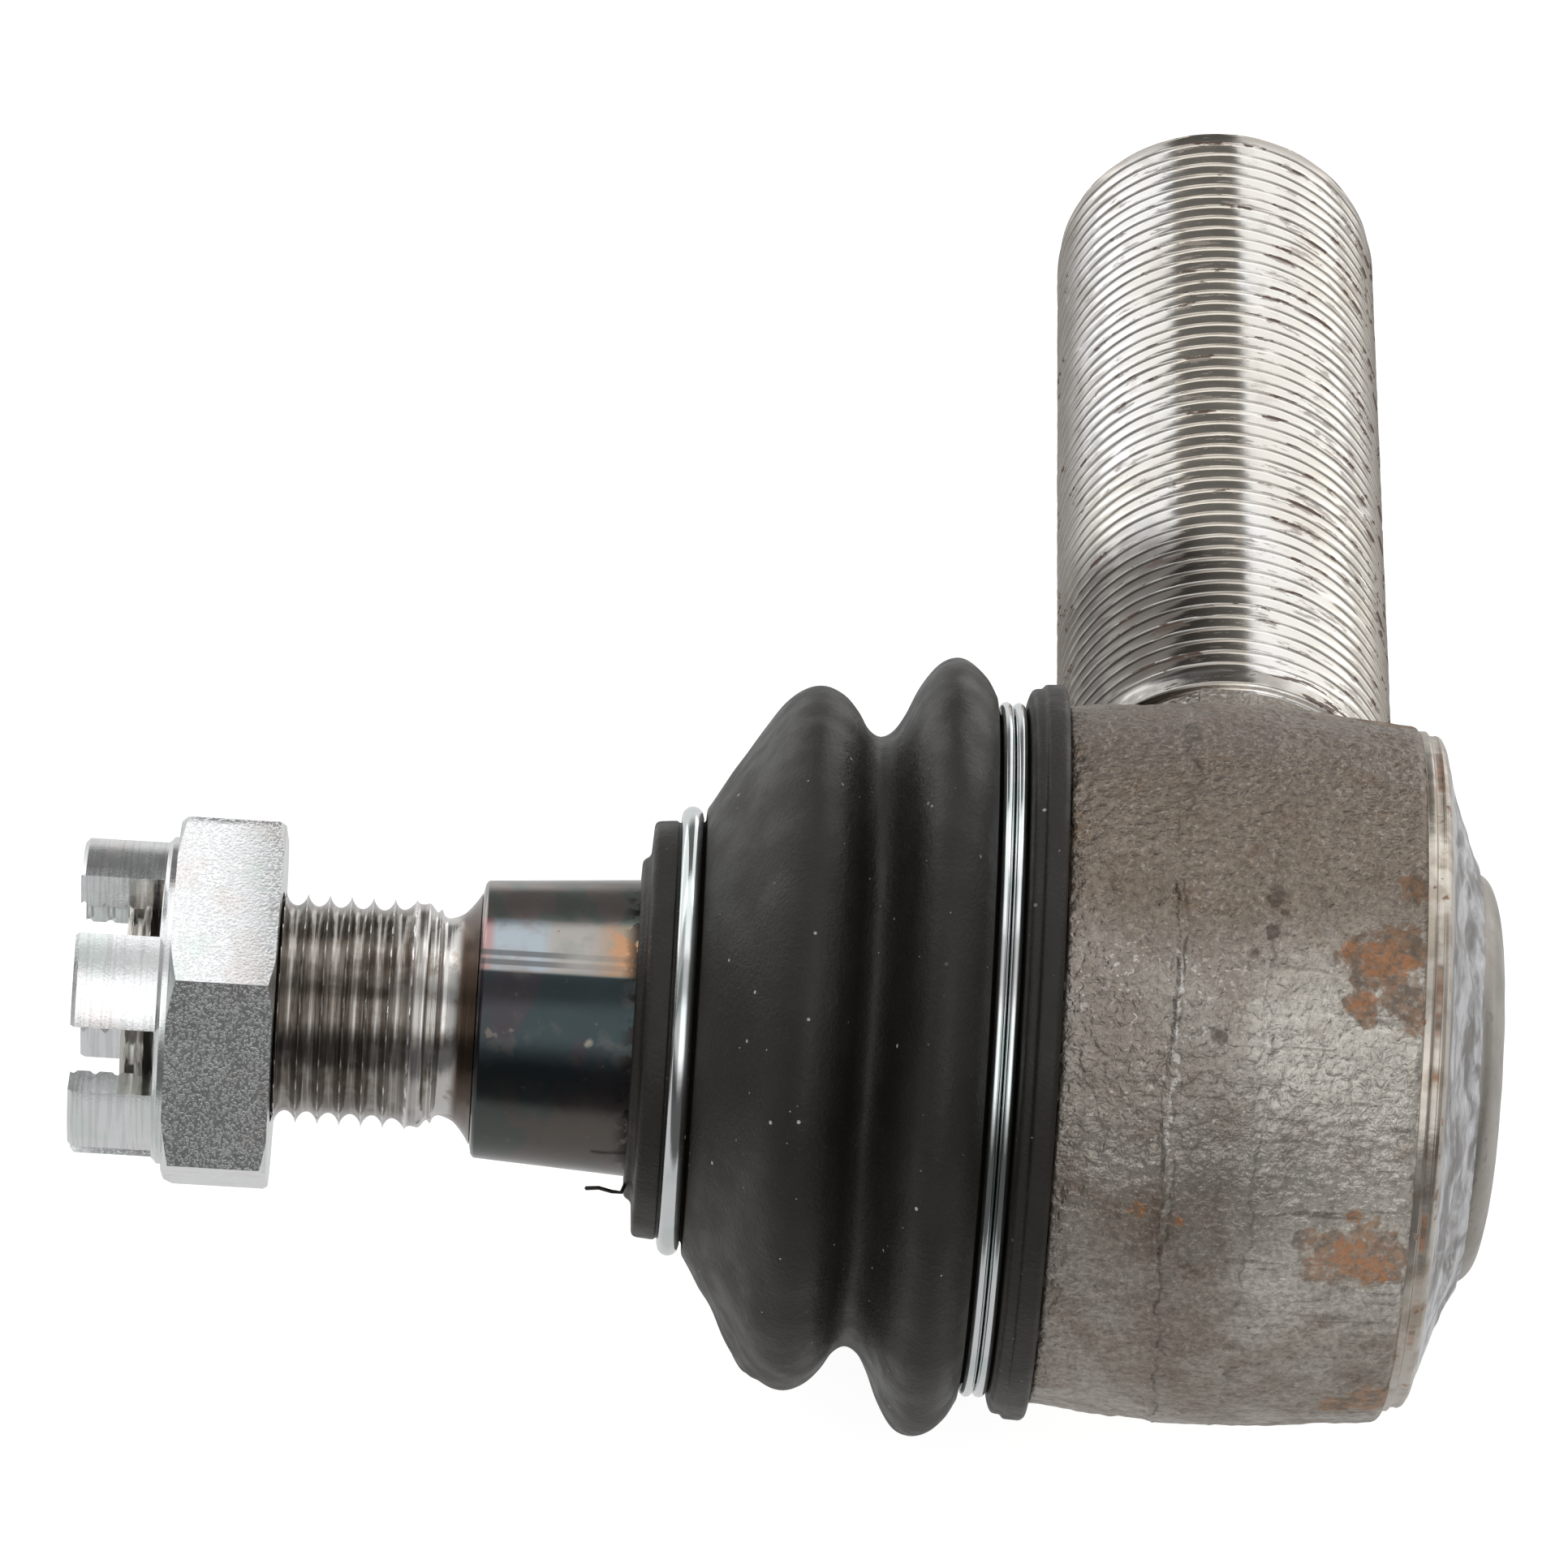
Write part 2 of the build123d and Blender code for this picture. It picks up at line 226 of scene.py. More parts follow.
def threaded(start, end, rows, columns, radius_at):
    """Radii, stations and angles, and faces, of a surface whose rows follow a helix of one PITCH a turn."""
    turns = (end - start) / PITCH
    count = int(turns * rows) + rows + 1
    i, j = np.meshgrid(np.arange(count), np.arange(columns), indexing="ij")
    travel = i + rows * j / columns
    station = np.clip(start + (travel - rows) * PITCH / rows, start, end)
    angle = j * TAU / columns
    phase = (travel / rows) % 1.0
    i2 = np.where(j + 1 == columns, i + rows, i)
    index = i * columns + j
    beside = i2 * columns + (j + 1) % columns
    keep = (i + 1 < count) & (i2 + 1 < count)
    quads = np.stack([index, index + columns, beside + columns, beside], -1)[keep]
    return radius_at(station, angle, phase), station, angle, quads


# ---- material helpers

class Nodes:
    """A shader node tree, grown and joined up by short calls that give back an output."""

    def __init__(self, tree):
        self.tree = tree

    def node(self, kind, *values, **settings):
        """A new shader node with these settings, whose first inputs take these values or outputs."""
        made = self.tree.nodes.new("ShaderNode" + kind)
        for key, value in settings.items():
            setattr(made, key, value)
        for socket, value in zip(made.inputs, values):
            self.put(socket, value)
        return made

    def put(self, socket, value):
        """Joins a socket to an output, or sets its number or colour."""
        if isinstance(value, bpy.types.NodeSocket):
            self.tree.links.new(value, socket)
        elif isinstance(value, (tuple, list)) and len(value) == 3 and len(socket.default_value) == 4:
            socket.default_value = (*value, 1)
        else:
            socket.default_value = value

    def vector(self, operation, a, b=(0, 0, 0), scale=None):
        made = self.node("VectorMath", a, b, operation=operation)
        if scale is not None:
            self.put(made.inputs["Scale"], scale)
        return made.outputs["Value" if operation in ("DISTANCE", "DOT_PRODUCT", "LENGTH") else "Vector"]

    def math(self, operation, a, b=0.0, clamp=False):
        return self.node("Math", a, b, operation=operation, use_clamp=clamp).outputs[0]

    def times(self, a, b):
        return self.math("MULTIPLY", a, b)

    def plus(self, a, b):
        return self.math("ADD", a, b)

    def minus(self, a, b):
        return self.math("SUBTRACT", a, b)

    def apart(self, a, b):
        """How far two numbers differ, either way."""
        return self.math("ABSOLUTE", self.minus(a, b))

    def span(self, value, low, high, to_low=0.0, to_high=1.0):
        """value from low..high to to_low..to_high, clamped, with eased ends."""
        numbers = (value, low, high, to_low, to_high)
        return self.node("MapRange", *numbers, interpolation_type="SMOOTHSTEP").outputs[0]


def principled(name, **uniform):
    """A material and its Principled shader, with these values; an underscore stands for a space."""
    material = bpy.data.materials.new(name)
    material.use_nodes = True
    shader = material.node_tree.nodes["Principled BSDF"]
    for socket, value in uniform.items():
        shader.inputs[socket.replace("_", " ")].default_value = value
    return material, shader


class Finish(Nodes):
    """A material built round one Principled shader, with its patterns in millimetres."""

    def __init__(self, name, **uniform):
        self.material, self.shader = principled(name, **uniform)
        super().__init__(self.material.node_tree)
        where = self.node("TexCoord").outputs["Object"]
        self.mm = self.vector("SCALE", where, scale=1000.0)
        self.base = None

    def noise(self, size, detail=4, stretch=None, roughness=0.55, shift=0.0, distortion=0.0, at=None):
        """Noise whose features are about size millimetres; stretch scales each axis of the pattern."""
        at = self.mm if at is None else at
        if stretch is not None:
            at = self.vector("MULTIPLY", at, stretch)
        if shift:
            at = self.vector("ADD", at, (shift, shift, shift))
        made = self.node("TexNoise", at)
        settings = dict(Scale=1.0 / size, Detail=detail, Roughness=roughness, Distortion=distortion)
        for socket, value in settings.items():
            made.inputs[socket].default_value = value
        return made.outputs["Fac"]

    def round_stud(self, around, across):
        """A place for noise whose features are drawn out round the stud's axis, as the scales say."""
        flat = self.vector("MULTIPLY", self.mm, (0, 1, 1))
        turned = self.vector("SCALE", self.vector("NORMALIZE", flat), scale=around)
        outwards = self.node("CombineXYZ", self.times(self.off_stud(), across)).outputs[0]
        return self.vector("ADD", turned, outwards)

    def flakes(self, size, shift=0.0):
        made = self.node("TexVoronoi", self.vector("ADD", self.mm, (shift, shift, shift)))
        made.inputs["Scale"].default_value = 1.0 / size
        return made.outputs["Distance"], made.outputs["Color"]

    def mix(self, share, a, b):
        """Colour a where share is 0 and b where it is 1."""
        made = self.node("Mix", data_type="RGBA")
        for index, value in ((0, share), (6, a), (7, b)):
            self.put(made.inputs[index], value)
        return made.outputs[2]

    def paint(self, share, colour):
        """Lays a colour over the base colour, where share is above 0."""
        self.base = self.mix(share, self.base, colour)

    def axis(self, index):
        """X, Y or Z, for index 0, 1 or 2."""
        return self.node("SeparateXYZ", self.mm).outputs[index]

    def station(self):
        return self.minus(BALL_X, self.axis(0))

    def towards(self, direction):
        """How far out a point lies in a direction."""
        return self.vector("DOT_PRODUCT", self.mm, direction)

    def off_stud(self):
        """The distance from the stud's axis."""
        return self.vector("LENGTH", self.vector("MULTIPLY", self.mm, (0, 1, 1)))

    def near(self, centre, reach):
        """1 close to a point, 0 further than reach from it, with a ragged border."""
        away = self.vector("DISTANCE", self.mm, centre)
        ragged = self.times(self.noise(1.5, shift=centre[0]), 1.2 * reach)
        return self.span(self.plus(away, ragged), 1.3 * reach, 1.6 * reach, 1, 0)

    def patches(self, places, ragged, size, low=0.1, high=0.4):
        """1 inside any of the (station, angle, reach) places on the eye, with torn borders."""
        field = None
        for station, angle, reach in places:
            away = self.vector("DISTANCE", self.mm, on_eye(station, angle))
            inside = self.minus(1.0, self.math("DIVIDE", away, reach))
            field = inside if field is None else self.math("MAXIMUM", field, inside)
        torn = self.times(self.minus(self.noise(size, 5, shift=60), 0.5), ragged)
        return self.span(self.plus(field, torn), low, high)

    def rough(self, value):
        self.put(self.shader.inputs["Roughness"], value)

    def metal(self, value):
        self.put(self.shader.inputs["Metallic"], value)

    def finished(self, *bumps):
        """The material, with its base colour and with bumps from (height, depth) pairs on one another."""
        self.put(self.shader.inputs["Base Color"], self.base)
        normal = None
        for height, depth in bumps:
            made = self.node("Bump")
            made.inputs["Distance"].default_value = depth / 1000
            self.put(made.inputs["Height"], height)
            if normal is not None:
                self.put(made.inputs["Normal"], normal)
            normal = made.outputs[0]
        self.put(self.shader.inputs["Normal"], normal)
        return self.material


# ---- materials

# The two parting seams' mean stations, and how far they sway along Y and Z
FRONT_SEAM = 4.3
FRONT_SWAY = (0, -0.968, 0.621)
REAR_SEAM = -0.7
REAR_SWAY = (0, -0.705, -0.559)

# Patches on the eye: the station, angle and reach of each. Rust lies by the lip, in smaller dark spots
# between the seams, and on the far side.
RUST_PATCHES = [
    (-8.0, -38.0, 2.9), (-9.8, -34.5, 2.4), (-9.8, -41.0, 2.2), (-6.6, -35.2, 1.2), (-7.2, -43.8, 1.7),
    (-10.8, -45.0, 1.6), (-6.6, -84.5, 2.4), (-8.8, -84.0, 2.9), (-10.4, -85.5, 2.2), (-6.0, -87.5, 2.0),
    (-4.6, -82.6, 1.2), (-10.6, -122, 3.0), (-8.6, -124, 2.0),
    (-1.1, -27, 0.95), (-1.8, -29.5, 0.5), (-0.9, -33.5, 0.8), (0.2, -36.8, 0.7), (2.3, -50.5, 0.9),
    (-10.8, -23.0, 1.5), (-9.5, 30, 3.0), (-9.0, 150, 4.0), (3.0, -178, 3.5), (9.5, 95, 2.5)]
SHADED_PATCHES = [(0.6, -73, 3.6), (-2.6, -72, 3.0)]
ORANGE_SPOTS = [
    (6.9, -79, 0.7), (4.1, -80, 0.6), (-7.8, -78.2, 0.75), (-7.6, -85.0, 1.9), (-9.4, -88.0, 1.7),
    (-8.4, -36.0, 1.8), (-10.2, -37, 1.2), (-7.3, -43.8, 1.2), (-6.2, -35.0, 0.9)]
SKIN_R = 24.4


def on_eye(station, angle):
    """A point of the eye's skin in millimetres."""
    a = math.radians(angle)
    return (BALL_X - station, SKIN_R * math.sin(a), SKIN_R * math.cos(a))


def forged_steel():
    """Blasted forging skin: brown-grey, leathery, with scuffs along X and rust; a painted highlight towards
    the rear, painted shade along the top, painted glints in a painted lit band, and painted shade and
    highlight lines at the seams.
    """
    m = Finish("forged_skin", Metallic=0.82)
    cloud = m.noise(6.5, shift=3)
    grain = m.noise(0.36, roughness=0.6)
    leather = m.noise(0.7, 3, shift=17, roughness=0.5, distortion=0.4)
    scuff = m.noise(0.6, 3, stretch=(0.05, 1, 1))
    wander = m.times(m.noise(3.0, 3, shift=50), 7.0)
    # Painted highlight: the skin is painted lighter towards the rear, on the side that faces forward and up
    behind = m.span(m.plus(m.axis(0), wander), 45.5, 51.0)
    facing = m.span(m.towards((0, -0.9, 0.436)), 15.5, 23.5)
    bright = m.times(behind, facing)
    m.base = m.mix(m.span(cloud, 0.36, 0.62), (0.235, 0.2, 0.166), (0.32, 0.29, 0.255))
    m.paint(m.times(bright, 0.85), (0.6, 0.565, 0.505))
    # Painted shade: darker towards the top of the eye
    m.paint(m.span(m.axis(2), 16.0, 22.5, 0, 0.9), (0.17, 0.138, 0.11))
    m.paint(m.span(leather, 0.54, 0.72, 0, 0.4), (0.15, 0.12, 0.094))
    m.paint(m.span(m.noise(2.8, shift=77), 0.52, 0.7, 0, 0.45), (0.145, 0.098, 0.062))
    m.paint(m.span(grain, 0.54, 0.72, 0, 0.35), (0.5, 0.475, 0.44))
    lines = m.times(m.span(scuff, 0.55, 0.66), m.plus(m.times(bright, 0.52), 0.12))
    m.paint(lines, (0.15, 0.13, 0.11))
    speck = m.noise(0.45, shift=33, roughness=0.65, distortion=0.3)
    m.base = m.vector("SCALE", m.base, scale=m.span(speck, 0.36, 0.64, 0.93, 1.36))
    # Painted highlights: scattered glints, thicker in a band from 4 to 21 mm up, which is painted lighter as
    # well
    painted_glints = m.times(m.span(m.noise(0.42, 3, shift=45, roughness=0.6), 0.585, 0.66),
                    m.span(m.noise(5.0, 3, shift=48), 0.42, 0.6, 0.25, 0.85))
    painted_light_band = m.times(m.span(m.axis(2), 4.0, 10.0), m.span(m.axis(2), 21.5, 18.5))
    m.paint(m.times(painted_light_band, 0.22), (0.46, 0.435, 0.395))
    m.paint(m.times(painted_glints, m.plus(m.times(painted_light_band, 0.5), 0.15)), (0.86, 0.83, 0.78))
    pits = m.times(m.span(m.noise(0.9, 3, shift=40), 0.7, 0.74), m.span(cloud, 0.45, 0.6))
    m.paint(m.times(pits, 0.7), (0.08, 0.06, 0.046))
    around = m.vector("NORMALIZE", m.vector("MULTIPLY", m.mm, (0, 1, 1)))
    station = m.station()
    ragged = m.plus(m.times(m.noise(1.0, 3, shift=6), 0.6),
                    m.times(m.noise(3.5, 3, shift=16), 3.0))
    # Along each seam, a painted shade line in its crease and, from 2 to 20 mm up, a broken painted highlight
    # line; the front seam's are stronger
    for middle, sway, strength in ((FRONT_SEAM, FRONT_SWAY, 0.55), (REAR_SEAM, REAR_SWAY, 0.34)):
        seam = m.plus(m.vector("DOT_PRODUCT", around, sway), middle - 2.0)
        off = m.minus(station, m.plus(seam, ragged))
        painted_crease_shade = m.span(m.math("ABSOLUTE", m.plus(off, 0.26)), 0.04, 0.22, 1, 0)
        painted_crease_shade = m.times(painted_crease_shade, m.span(m.noise(2.0, shift=36), 0.4, 0.6, 0.15, 1.0))
        m.paint(m.times(painted_crease_shade, strength * 1.3), (0.085, 0.07, 0.058))
        line = m.span(m.math("ABSOLUTE", off), 0.06, 0.26, 1, 0)
        reach = m.times(m.span(m.axis(2), 20.5, 17.5), m.span(m.axis(2), 2.0, 9.0))
        painted_seam_glint = m.times(reach, m.span(m.noise(0.9, shift=26), 0.44, 0.56))
        m.paint(m.times(line, m.times(painted_seam_glint, strength)), (0.8, 0.78, 0.74))
    shade = m.patches(SHADED_PATCHES, 1.5, 2.5, -2.0, 2.0)
    m.paint(m.times(shade, 0.5), (0.165, 0.14, 0.118))
    rust = m.patches(RUST_PATCHES, 1.7, 1.1)
    rim = m.span(m.apart(m.axis(0), BALL_X + 11.65), 0.1, 0.4, 1, 0)
    rim = m.times(rim, m.span(m.noise(4.5, 3, shift=9), 0.46, 0.58))
    broken = m.span(m.noise(0.5, shift=90, roughness=0.6), 0.34, 0.52, 0.55, 1.0)
    rust = m.times(m.math("MAXIMUM", rust, rim), broken)
    tone = m.mix(m.span(m.noise(0.9, shift=3), 0.4, 0.6), (0.115, 0.076, 0.048), (0.25, 0.128, 0.062))
    tone = m.mix(m.span(station, -5.0, -4.0), tone, (0.082, 0.06, 0.046))
    m.paint(m.times(rust, 0.8), tone)
    orange = m.times(m.patches(ORANGE_SPOTS, 1.6, 0.8), m.span(speck, 0.42, 0.58, 0.15, 0.75))
    m.paint(orange, (0.42, 0.18, 0.07))
    m.metal(m.minus(0.85, m.times(rust, 0.65)))
    m.rough(m.math("ADD", m.span(cloud, 0.3, 0.7, 0.42, 0.34), m.times(rust, 0.3), clamp=True))
    return m.finished((leather, 0.34), (grain, 0.11), (scuff, 0.085))


def machined_steel():
    """The shank's cut thread: bright, with dirt on its crests and rust specks along them; painted shade low
    on its -X side, in a stripe along it, at its sides and at its end, and a painted highlight on its +X side.
    """
    m = Finish("machined_thread", Metallic=1.0)
    warm = m.noise(14, 2)
    m.base = m.mix(m.span(warm, 0.35, 0.65), (0.78, 0.745, 0.69), (0.85, 0.84, 0.825))
    m.paint(m.span(m.noise(2.2), 0.54, 0.72, 0, 0.4), (0.47, 0.43, 0.38))
    # Painted shade: a soft dark zone on the shank's lower -X side near its root; the crests' colour below
    # turns dark inside it too
    low = m.plus(m.towards((0.67, 1.0, 0)), m.times(m.noise(3, 3), 5.0))
    low = m.times(m.span(low, 83.0, 74.5), m.span(m.axis(0), BALL_X + 2.0, BALL_X - 4.5))
    low = m.times(low, m.span(m.axis(2), -7.0, 1.0))
    # Painted shade: a darker, warmer stripe along the shank, centred 1.75 mm towards -X from its axis
    off = m.apart(m.axis(0), BALL_X - 1.75)
    m.paint(m.span(off, 2.6, 2.0, 0, 0.85), (0.72, 0.655, 0.565))
    m.paint(m.times(low, 0.94), (0.08, 0.067, 0.056))
    away = m.vector("LENGTH", m.vector("MULTIPLY", m.vector("SUBTRACT", m.mm, (BALL_X, 0, 0)), (1, 0, 1)))
    crest = m.span(away, SHANK_R - 0.16, SHANK_R - 0.07)
    worn = m.times(crest, m.span(m.noise(3.0, shift=8), 0.35, 0.6, 0.2, 0.66))
    m.paint(worn, m.mix(low, (0.15, 0.12, 0.09), (0.66, 0.64, 0.61)))
    # Painted highlight: lighter and warmer over 8 mm on the +X side of the axis
    m.paint(m.span(m.axis(0), BALL_X, BALL_X + 8, 0, 0.55), (0.8, 0.74, 0.64))
    # Painted shade: darker along both sides of the shank, where it turns away, and over its last 2 mm
    flank = m.apart(m.axis(0), BALL_X)
    tip = m.span(m.axis(1), SHANK_END - 2.2, SHANK_END - 0.2)
    side_and_end_shade = m.math("MAXIMUM", m.span(flank, SHANK_R - 2.0, SHANK_R - 0.3), tip)
    m.paint(m.times(side_and_end_shade, 0.75), (0.33, 0.295, 0.26))
    streak = m.noise(1.5, 5, stretch=(0.3, 1.5, 0.6), shift=5, roughness=0.68)
    beside = m.span(m.axis(0), BALL_X - 2, BALL_X + 7, 0.025, -0.012)
    specks = m.span(m.minus(streak, beside), 0.572, 0.602)
    specks = m.times(specks, m.span(away, SHANK_R - 0.22, SHANK_R - 0.14, 0.5, 1.0))
    m.paint(m.times(specks, 0.9), (0.085, 0.04, 0.024))
    m.metal(m.minus(1.0, m.times(specks, 0.8)))
    m.rough(m.plus(m.span(m.noise(3, 3), 0.3, 0.7, 0.13, 0.21), m.times(specks, 0.4)))
    return m.finished((m.noise(0.5, 3, stretch=(0.4, 1, 0.4)), 0.012))


def taper_steel():
    """The ground taper: grey above, a pale tinted band, then blued black, turning olive below."""
    m = Finish("heat_tinted_taper", Metallic=0.94)
    part = m.noise(3.6, 2, stretch=(1.0, 0.45, 0.45), shift=2)
    soft = m.noise(2.2, shift=8)
    wave = m.times(m.noise(2.5, 3, shift=5), 0.5)
    station = m.station()
    mean_r = 10.5
    over = m.math("DIVIDE", m.towards((0, -0.825, 0.565)), mean_r)
    height = m.math("DIVIDE", m.towards((0, 0.565, 0.825)), mean_r)
    top = m.mix(m.span(part, 0.42, 0.52), (0.245, 0.275, 0.25), (0.33, 0.285, 0.265))
    top = m.mix(m.span(height, 0.88, 0.94), top, (0.1, 0.085, 0.075))
    blued = m.mix(m.span(part, 0.44, 0.54), (0.038, 0.052, 0.056), (0.052, 0.048, 0.054))
    blued = m.mix(m.span(soft, 0.52, 0.68, 0, 0.6), blued, (0.085, 0.083, 0.08))
    olive = m.mix(m.span(part, 0.45, 0.55), (0.09, 0.1, 0.092), (0.12, 0.105, 0.094))
    below = m.span(m.plus(height, m.times(wave, 0.5)), -0.55, -0.2, 1, 0)
    m.base = m.mix(below, blued, olive)
    m.paint(m.span(height, 0.325, 0.355), top)
    hue = m.mix(m.span(station, 42.5, 44.5), (0.46, 0.26, 0.15), (0.36, 0.34, 0.32))
    hue = m.mix(m.span(m.plus(station, wave), 47.0, 48.2), hue, (0.36, 0.41, 0.45))
    hue = m.mix(m.span(station, 50.8, 51.4), hue, (0.42, 0.27, 0.27))
    band = m.times(m.span(height, 0.33, 0.36), m.span(height, 0.66, 0.69, 1, 0))
    m.paint(m.times(band, m.span(soft, 0.45, 0.65, 1.0, 0.4)), hue)
    for middle in (0.395, 0.455):
        stripe = m.span(m.apart(height, middle), 0.012, 0.024, 0.8, 0)
        m.paint(m.times(stripe, m.span(station, 45.0, 47.5, 0.35, 1)), (0.11, 0.115, 0.12))
    edge = m.times(m.span(station, 42.5, 41.0), m.span(m.noise(1.3, shift=4), 0.48, 0.56))
    m.paint(m.times(edge, m.span(over, -0.2, 0.3)), (0.022, 0.019, 0.017))
    m.paint(m.near((BALL_X - 44.2, -8.5, 4.6), 0.55), (0.24, 0.215, 0.18))
    m.paint(m.span(m.noise(1.6, shift=30), 0.66, 0.7, 0, 0.6), (0.16, 0.135, 0.115))
    m.rough(m.span(m.noise(2.5), 0.3, 0.7, 0.13, 0.22))
    return m.finished((m.noise(0.1, 2, stretch=(1, 0.02, 0.02)), 0.003), (m.noise(0.9), 0.006))


def stud_steel():
    """The stud's thread and relief: bright along the crests, brown in the roots and at the fillet."""
    m = Finish("stud_thread", Metallic=0.96)
    away = m.off_stud()
    stain = m.noise(2.2, shift=4, stretch=(0.6, 1, 1))
    root = m.mix(m.span(stain, 0.4, 0.62), (0.2, 0.174, 0.15), (0.37, 0.34, 0.31))
    root = m.mix(m.span(m.noise(0.2, 2, stretch=(1, 0.02, 0.02), shift=6), 0.5, 0.62, 0, 0.55), root,
                 (0.52, 0.5, 0.475))
    m.base = m.mix(m.span(away, 7.58, 7.82), root, (0.86, 0.85, 0.84))
    station = m.station()
    bright = m.mix(m.span(m.noise(1.6, shift=15), 0.5, 0.66), (0.66, 0.645, 0.62), (0.42, 0.375, 0.33))
    m.paint(m.span(station, 55.9, 55.3), bright)
    m.paint(m.span(station, 53.7, 53.0), (0.115, 0.08, 0.06))
    m.paint(m.span(station, NUT_START + 7.0, NUT_START + 7.6), (0.66, 0.635, 0.59))
    grease = m.times(m.span(m.noise(1.1, 5, shift=21), 0.58, 0.64), m.span(m.axis(2), -3.5, -5.0))
    m.paint(m.times(grease, 0.85), (0.035, 0.029, 0.024))
    m.rough(m.span(stain, 0.3, 0.7, 0.15, 0.26))
    return m.finished((m.noise(0.12, 2, stretch=(1, 0.03, 0.03)), 0.01), (m.noise(0.6, 3), 0.006))


def zinc(name, grain_depth, line_depth, fleck, line_tone):
    """Bright zinc plate with a peened grain or turning lines, and a faint green and pink cast."""
    m = Finish(name, Metallic=0.96)
    cast = m.noise(5.0, 2, shift=1)
    m.base = m.mix(m.span(cast, 0.36, 0.5), (0.8, 0.855, 0.828), (0.87, 0.88, 0.89))
    m.paint(m.span(cast, 0.54, 0.7), (0.825, 0.795, 0.78))
    m.paint(m.span(m.noise(0.5, shift=14), 0.57, 0.68, 0, fleck), (0.56, 0.545, 0.49))
    lines = m.noise(0.26, 2, stretch=(1, 0.03, 0.03))
    m.paint(m.span(lines, 0.47, 0.6, 0, line_tone), (0.36, 0.37, 0.38))
    m.rough(m.span(m.noise(1.2, 3), 0.3, 0.7, 0.14, 0.24))
    grain = m.noise(0.34, 2, roughness=0.5, shift=70)
    pimples = m.span(m.noise(0.21, 3, shift=55, roughness=0.6), 0.46, 0.68)
    return m.finished((grain, grain_depth * 0.3), (pimples, grain_depth), (lines, line_depth))


def ring_wire():
    """Bright drawn wire."""
    m = Finish("ring_wire", Metallic=1.0)
    shade = m.noise(7.0, 3, shift=6)
    m.base = m.mix(m.span(shade, 0.4, 0.6), (0.66, 0.72, 0.71), (0.8, 0.81, 0.82))
    m.rough(m.span(shade, 0.3, 0.7, 0.08, 0.16))
    return m.finished((m.noise(0.8, 3), 0.006))


def boot_rubber():
    """Matt brown-black rubber with a faint bloom and white dust specks."""
    m = Finish("boot_rubber", Specular_IOR_Level=0.4)
    bloom = m.noise(9.0)
    m.base = m.mix(m.span(bloom, 0.35, 0.65), (0.0098, 0.008, 0.0058), (0.0142, 0.012, 0.0092))
    fine = m.noise(0.34, roughness=0.7)
    m.paint(m.span(fine, 0.58, 0.75, 0, 0.5), (0.034, 0.03, 0.025))
    for size, shift, share in ((1.9, 0.0, 0.42), (0.9, 31.0, 0.7)):
        near, cell = m.flakes(size, shift)
        chance = m.node("SeparateColor", cell)
        dust = m.times(m.span(near, 0.055, 0.085, 1, 0), m.span(chance.outputs[0], share, share + 0.3))
        m.paint(m.times(dust, 0.8), (0.46, 0.44, 0.4))
    m.rough(m.span(m.noise(3.2, shift=41), 0.38, 0.66, 0.5, 0.36))
    return m.finished((m.noise(2.6, shift=12), 0.08), (fine, 0.085))


def crimped_steel():
    """The rolled lip: turned beige edge, then burnished blue-white and grey where the tool pressed it, with
    painted highlight streaks.
    """
    m = Finish("crimped_lip", Metallic=0.95)
    wide = m.noise(3.2, 3, at=m.round_stud(13.0, 1.2), distortion=0.6)
    fine = m.noise(0.9, at=m.round_stud(7.0, 1.0), shift=7)
    m.base = m.mix(m.span(wide, 0.4, 0.58), (0.235, 0.222, 0.215), (0.61, 0.61, 0.63))
    m.paint(m.span(fine, 0.46, 0.66, 0, 0.5), (0.33, 0.32, 0.32))
    # Painted highlights: pale streaks where the fine pattern is low
    m.paint(m.span(fine, 0.42, 0.32, 0, 0.5), (0.82, 0.83, 0.85))
    away = m.off_stud()
    edge = m.span(away, 22.0, 22.7)
    rim = m.mix(m.span(m.noise(2.6, shift=19), 0.42, 0.62), (0.58, 0.535, 0.475), (0.4, 0.35, 0.29))
    m.paint(edge, rim)
    groove = m.span(m.apart(m.axis(0), BALL_X + 12.45), 0.12, 0.36, 1, 0)
    spots = m.times(edge, m.span(m.noise(1.5, shift=11), 0.63, 0.68))
    patches = m.span(m.noise(3.0, at=m.round_stud(9.0, 0.0), shift=12, roughness=0.6), 0.48, 0.56)
    rust = m.math("MAXIMUM", m.times(groove, patches), spots)
    tone = m.mix(m.span(m.noise(0.7, 3), 0.4, 0.6), (0.115, 0.06, 0.032), (0.27, 0.115, 0.048))
    m.paint(m.times(rust, 0.85), tone)
    m.metal(m.minus(0.95, m.times(rust, 0.7)))
    m.rough(m.span(wide, 0.35, 0.65, 0.36, 0.24))
    return m.finished((fine, 0.05), (m.noise(0.6, 3), 0.02))


def cover_steel():
    """Pressed sheet, satin beige-grey."""
    m = Finish("cover_sheet", Metallic=0.85)
    cloud = m.noise(6.0)
    m.base = m.mix(m.span(cloud, 0.35, 0.65), (0.335, 0.308, 0.275), (0.415, 0.388, 0.352))
    m.paint(m.span(m.noise(0.8), 0.58, 0.7, 0, 0.4), (0.2, 0.178, 0.155))
    m.rough(m.span(cloud, 0.3, 0.7, 0.46, 0.38))
    return m.finished((m.noise(0.5), 0.02))


def plain_inside(name, colour, roughness, metallic):
    """A finish for the sealed pieces: one colour with a faint mottle and grain."""
    m = Finish(name, Metallic=metallic)
    dark = tuple(0.8 * c for c in colour)
    m.base = m.mix(m.span(m.noise(2.0, 3), 0.35, 0.65), colour, dark)
    m.rough(m.span(m.noise(1.0, 3, shift=5), 0.3, 0.7, roughness - 0.06, roughness + 0.06))
    return m.finished((m.noise(0.4, 3), 0.01))


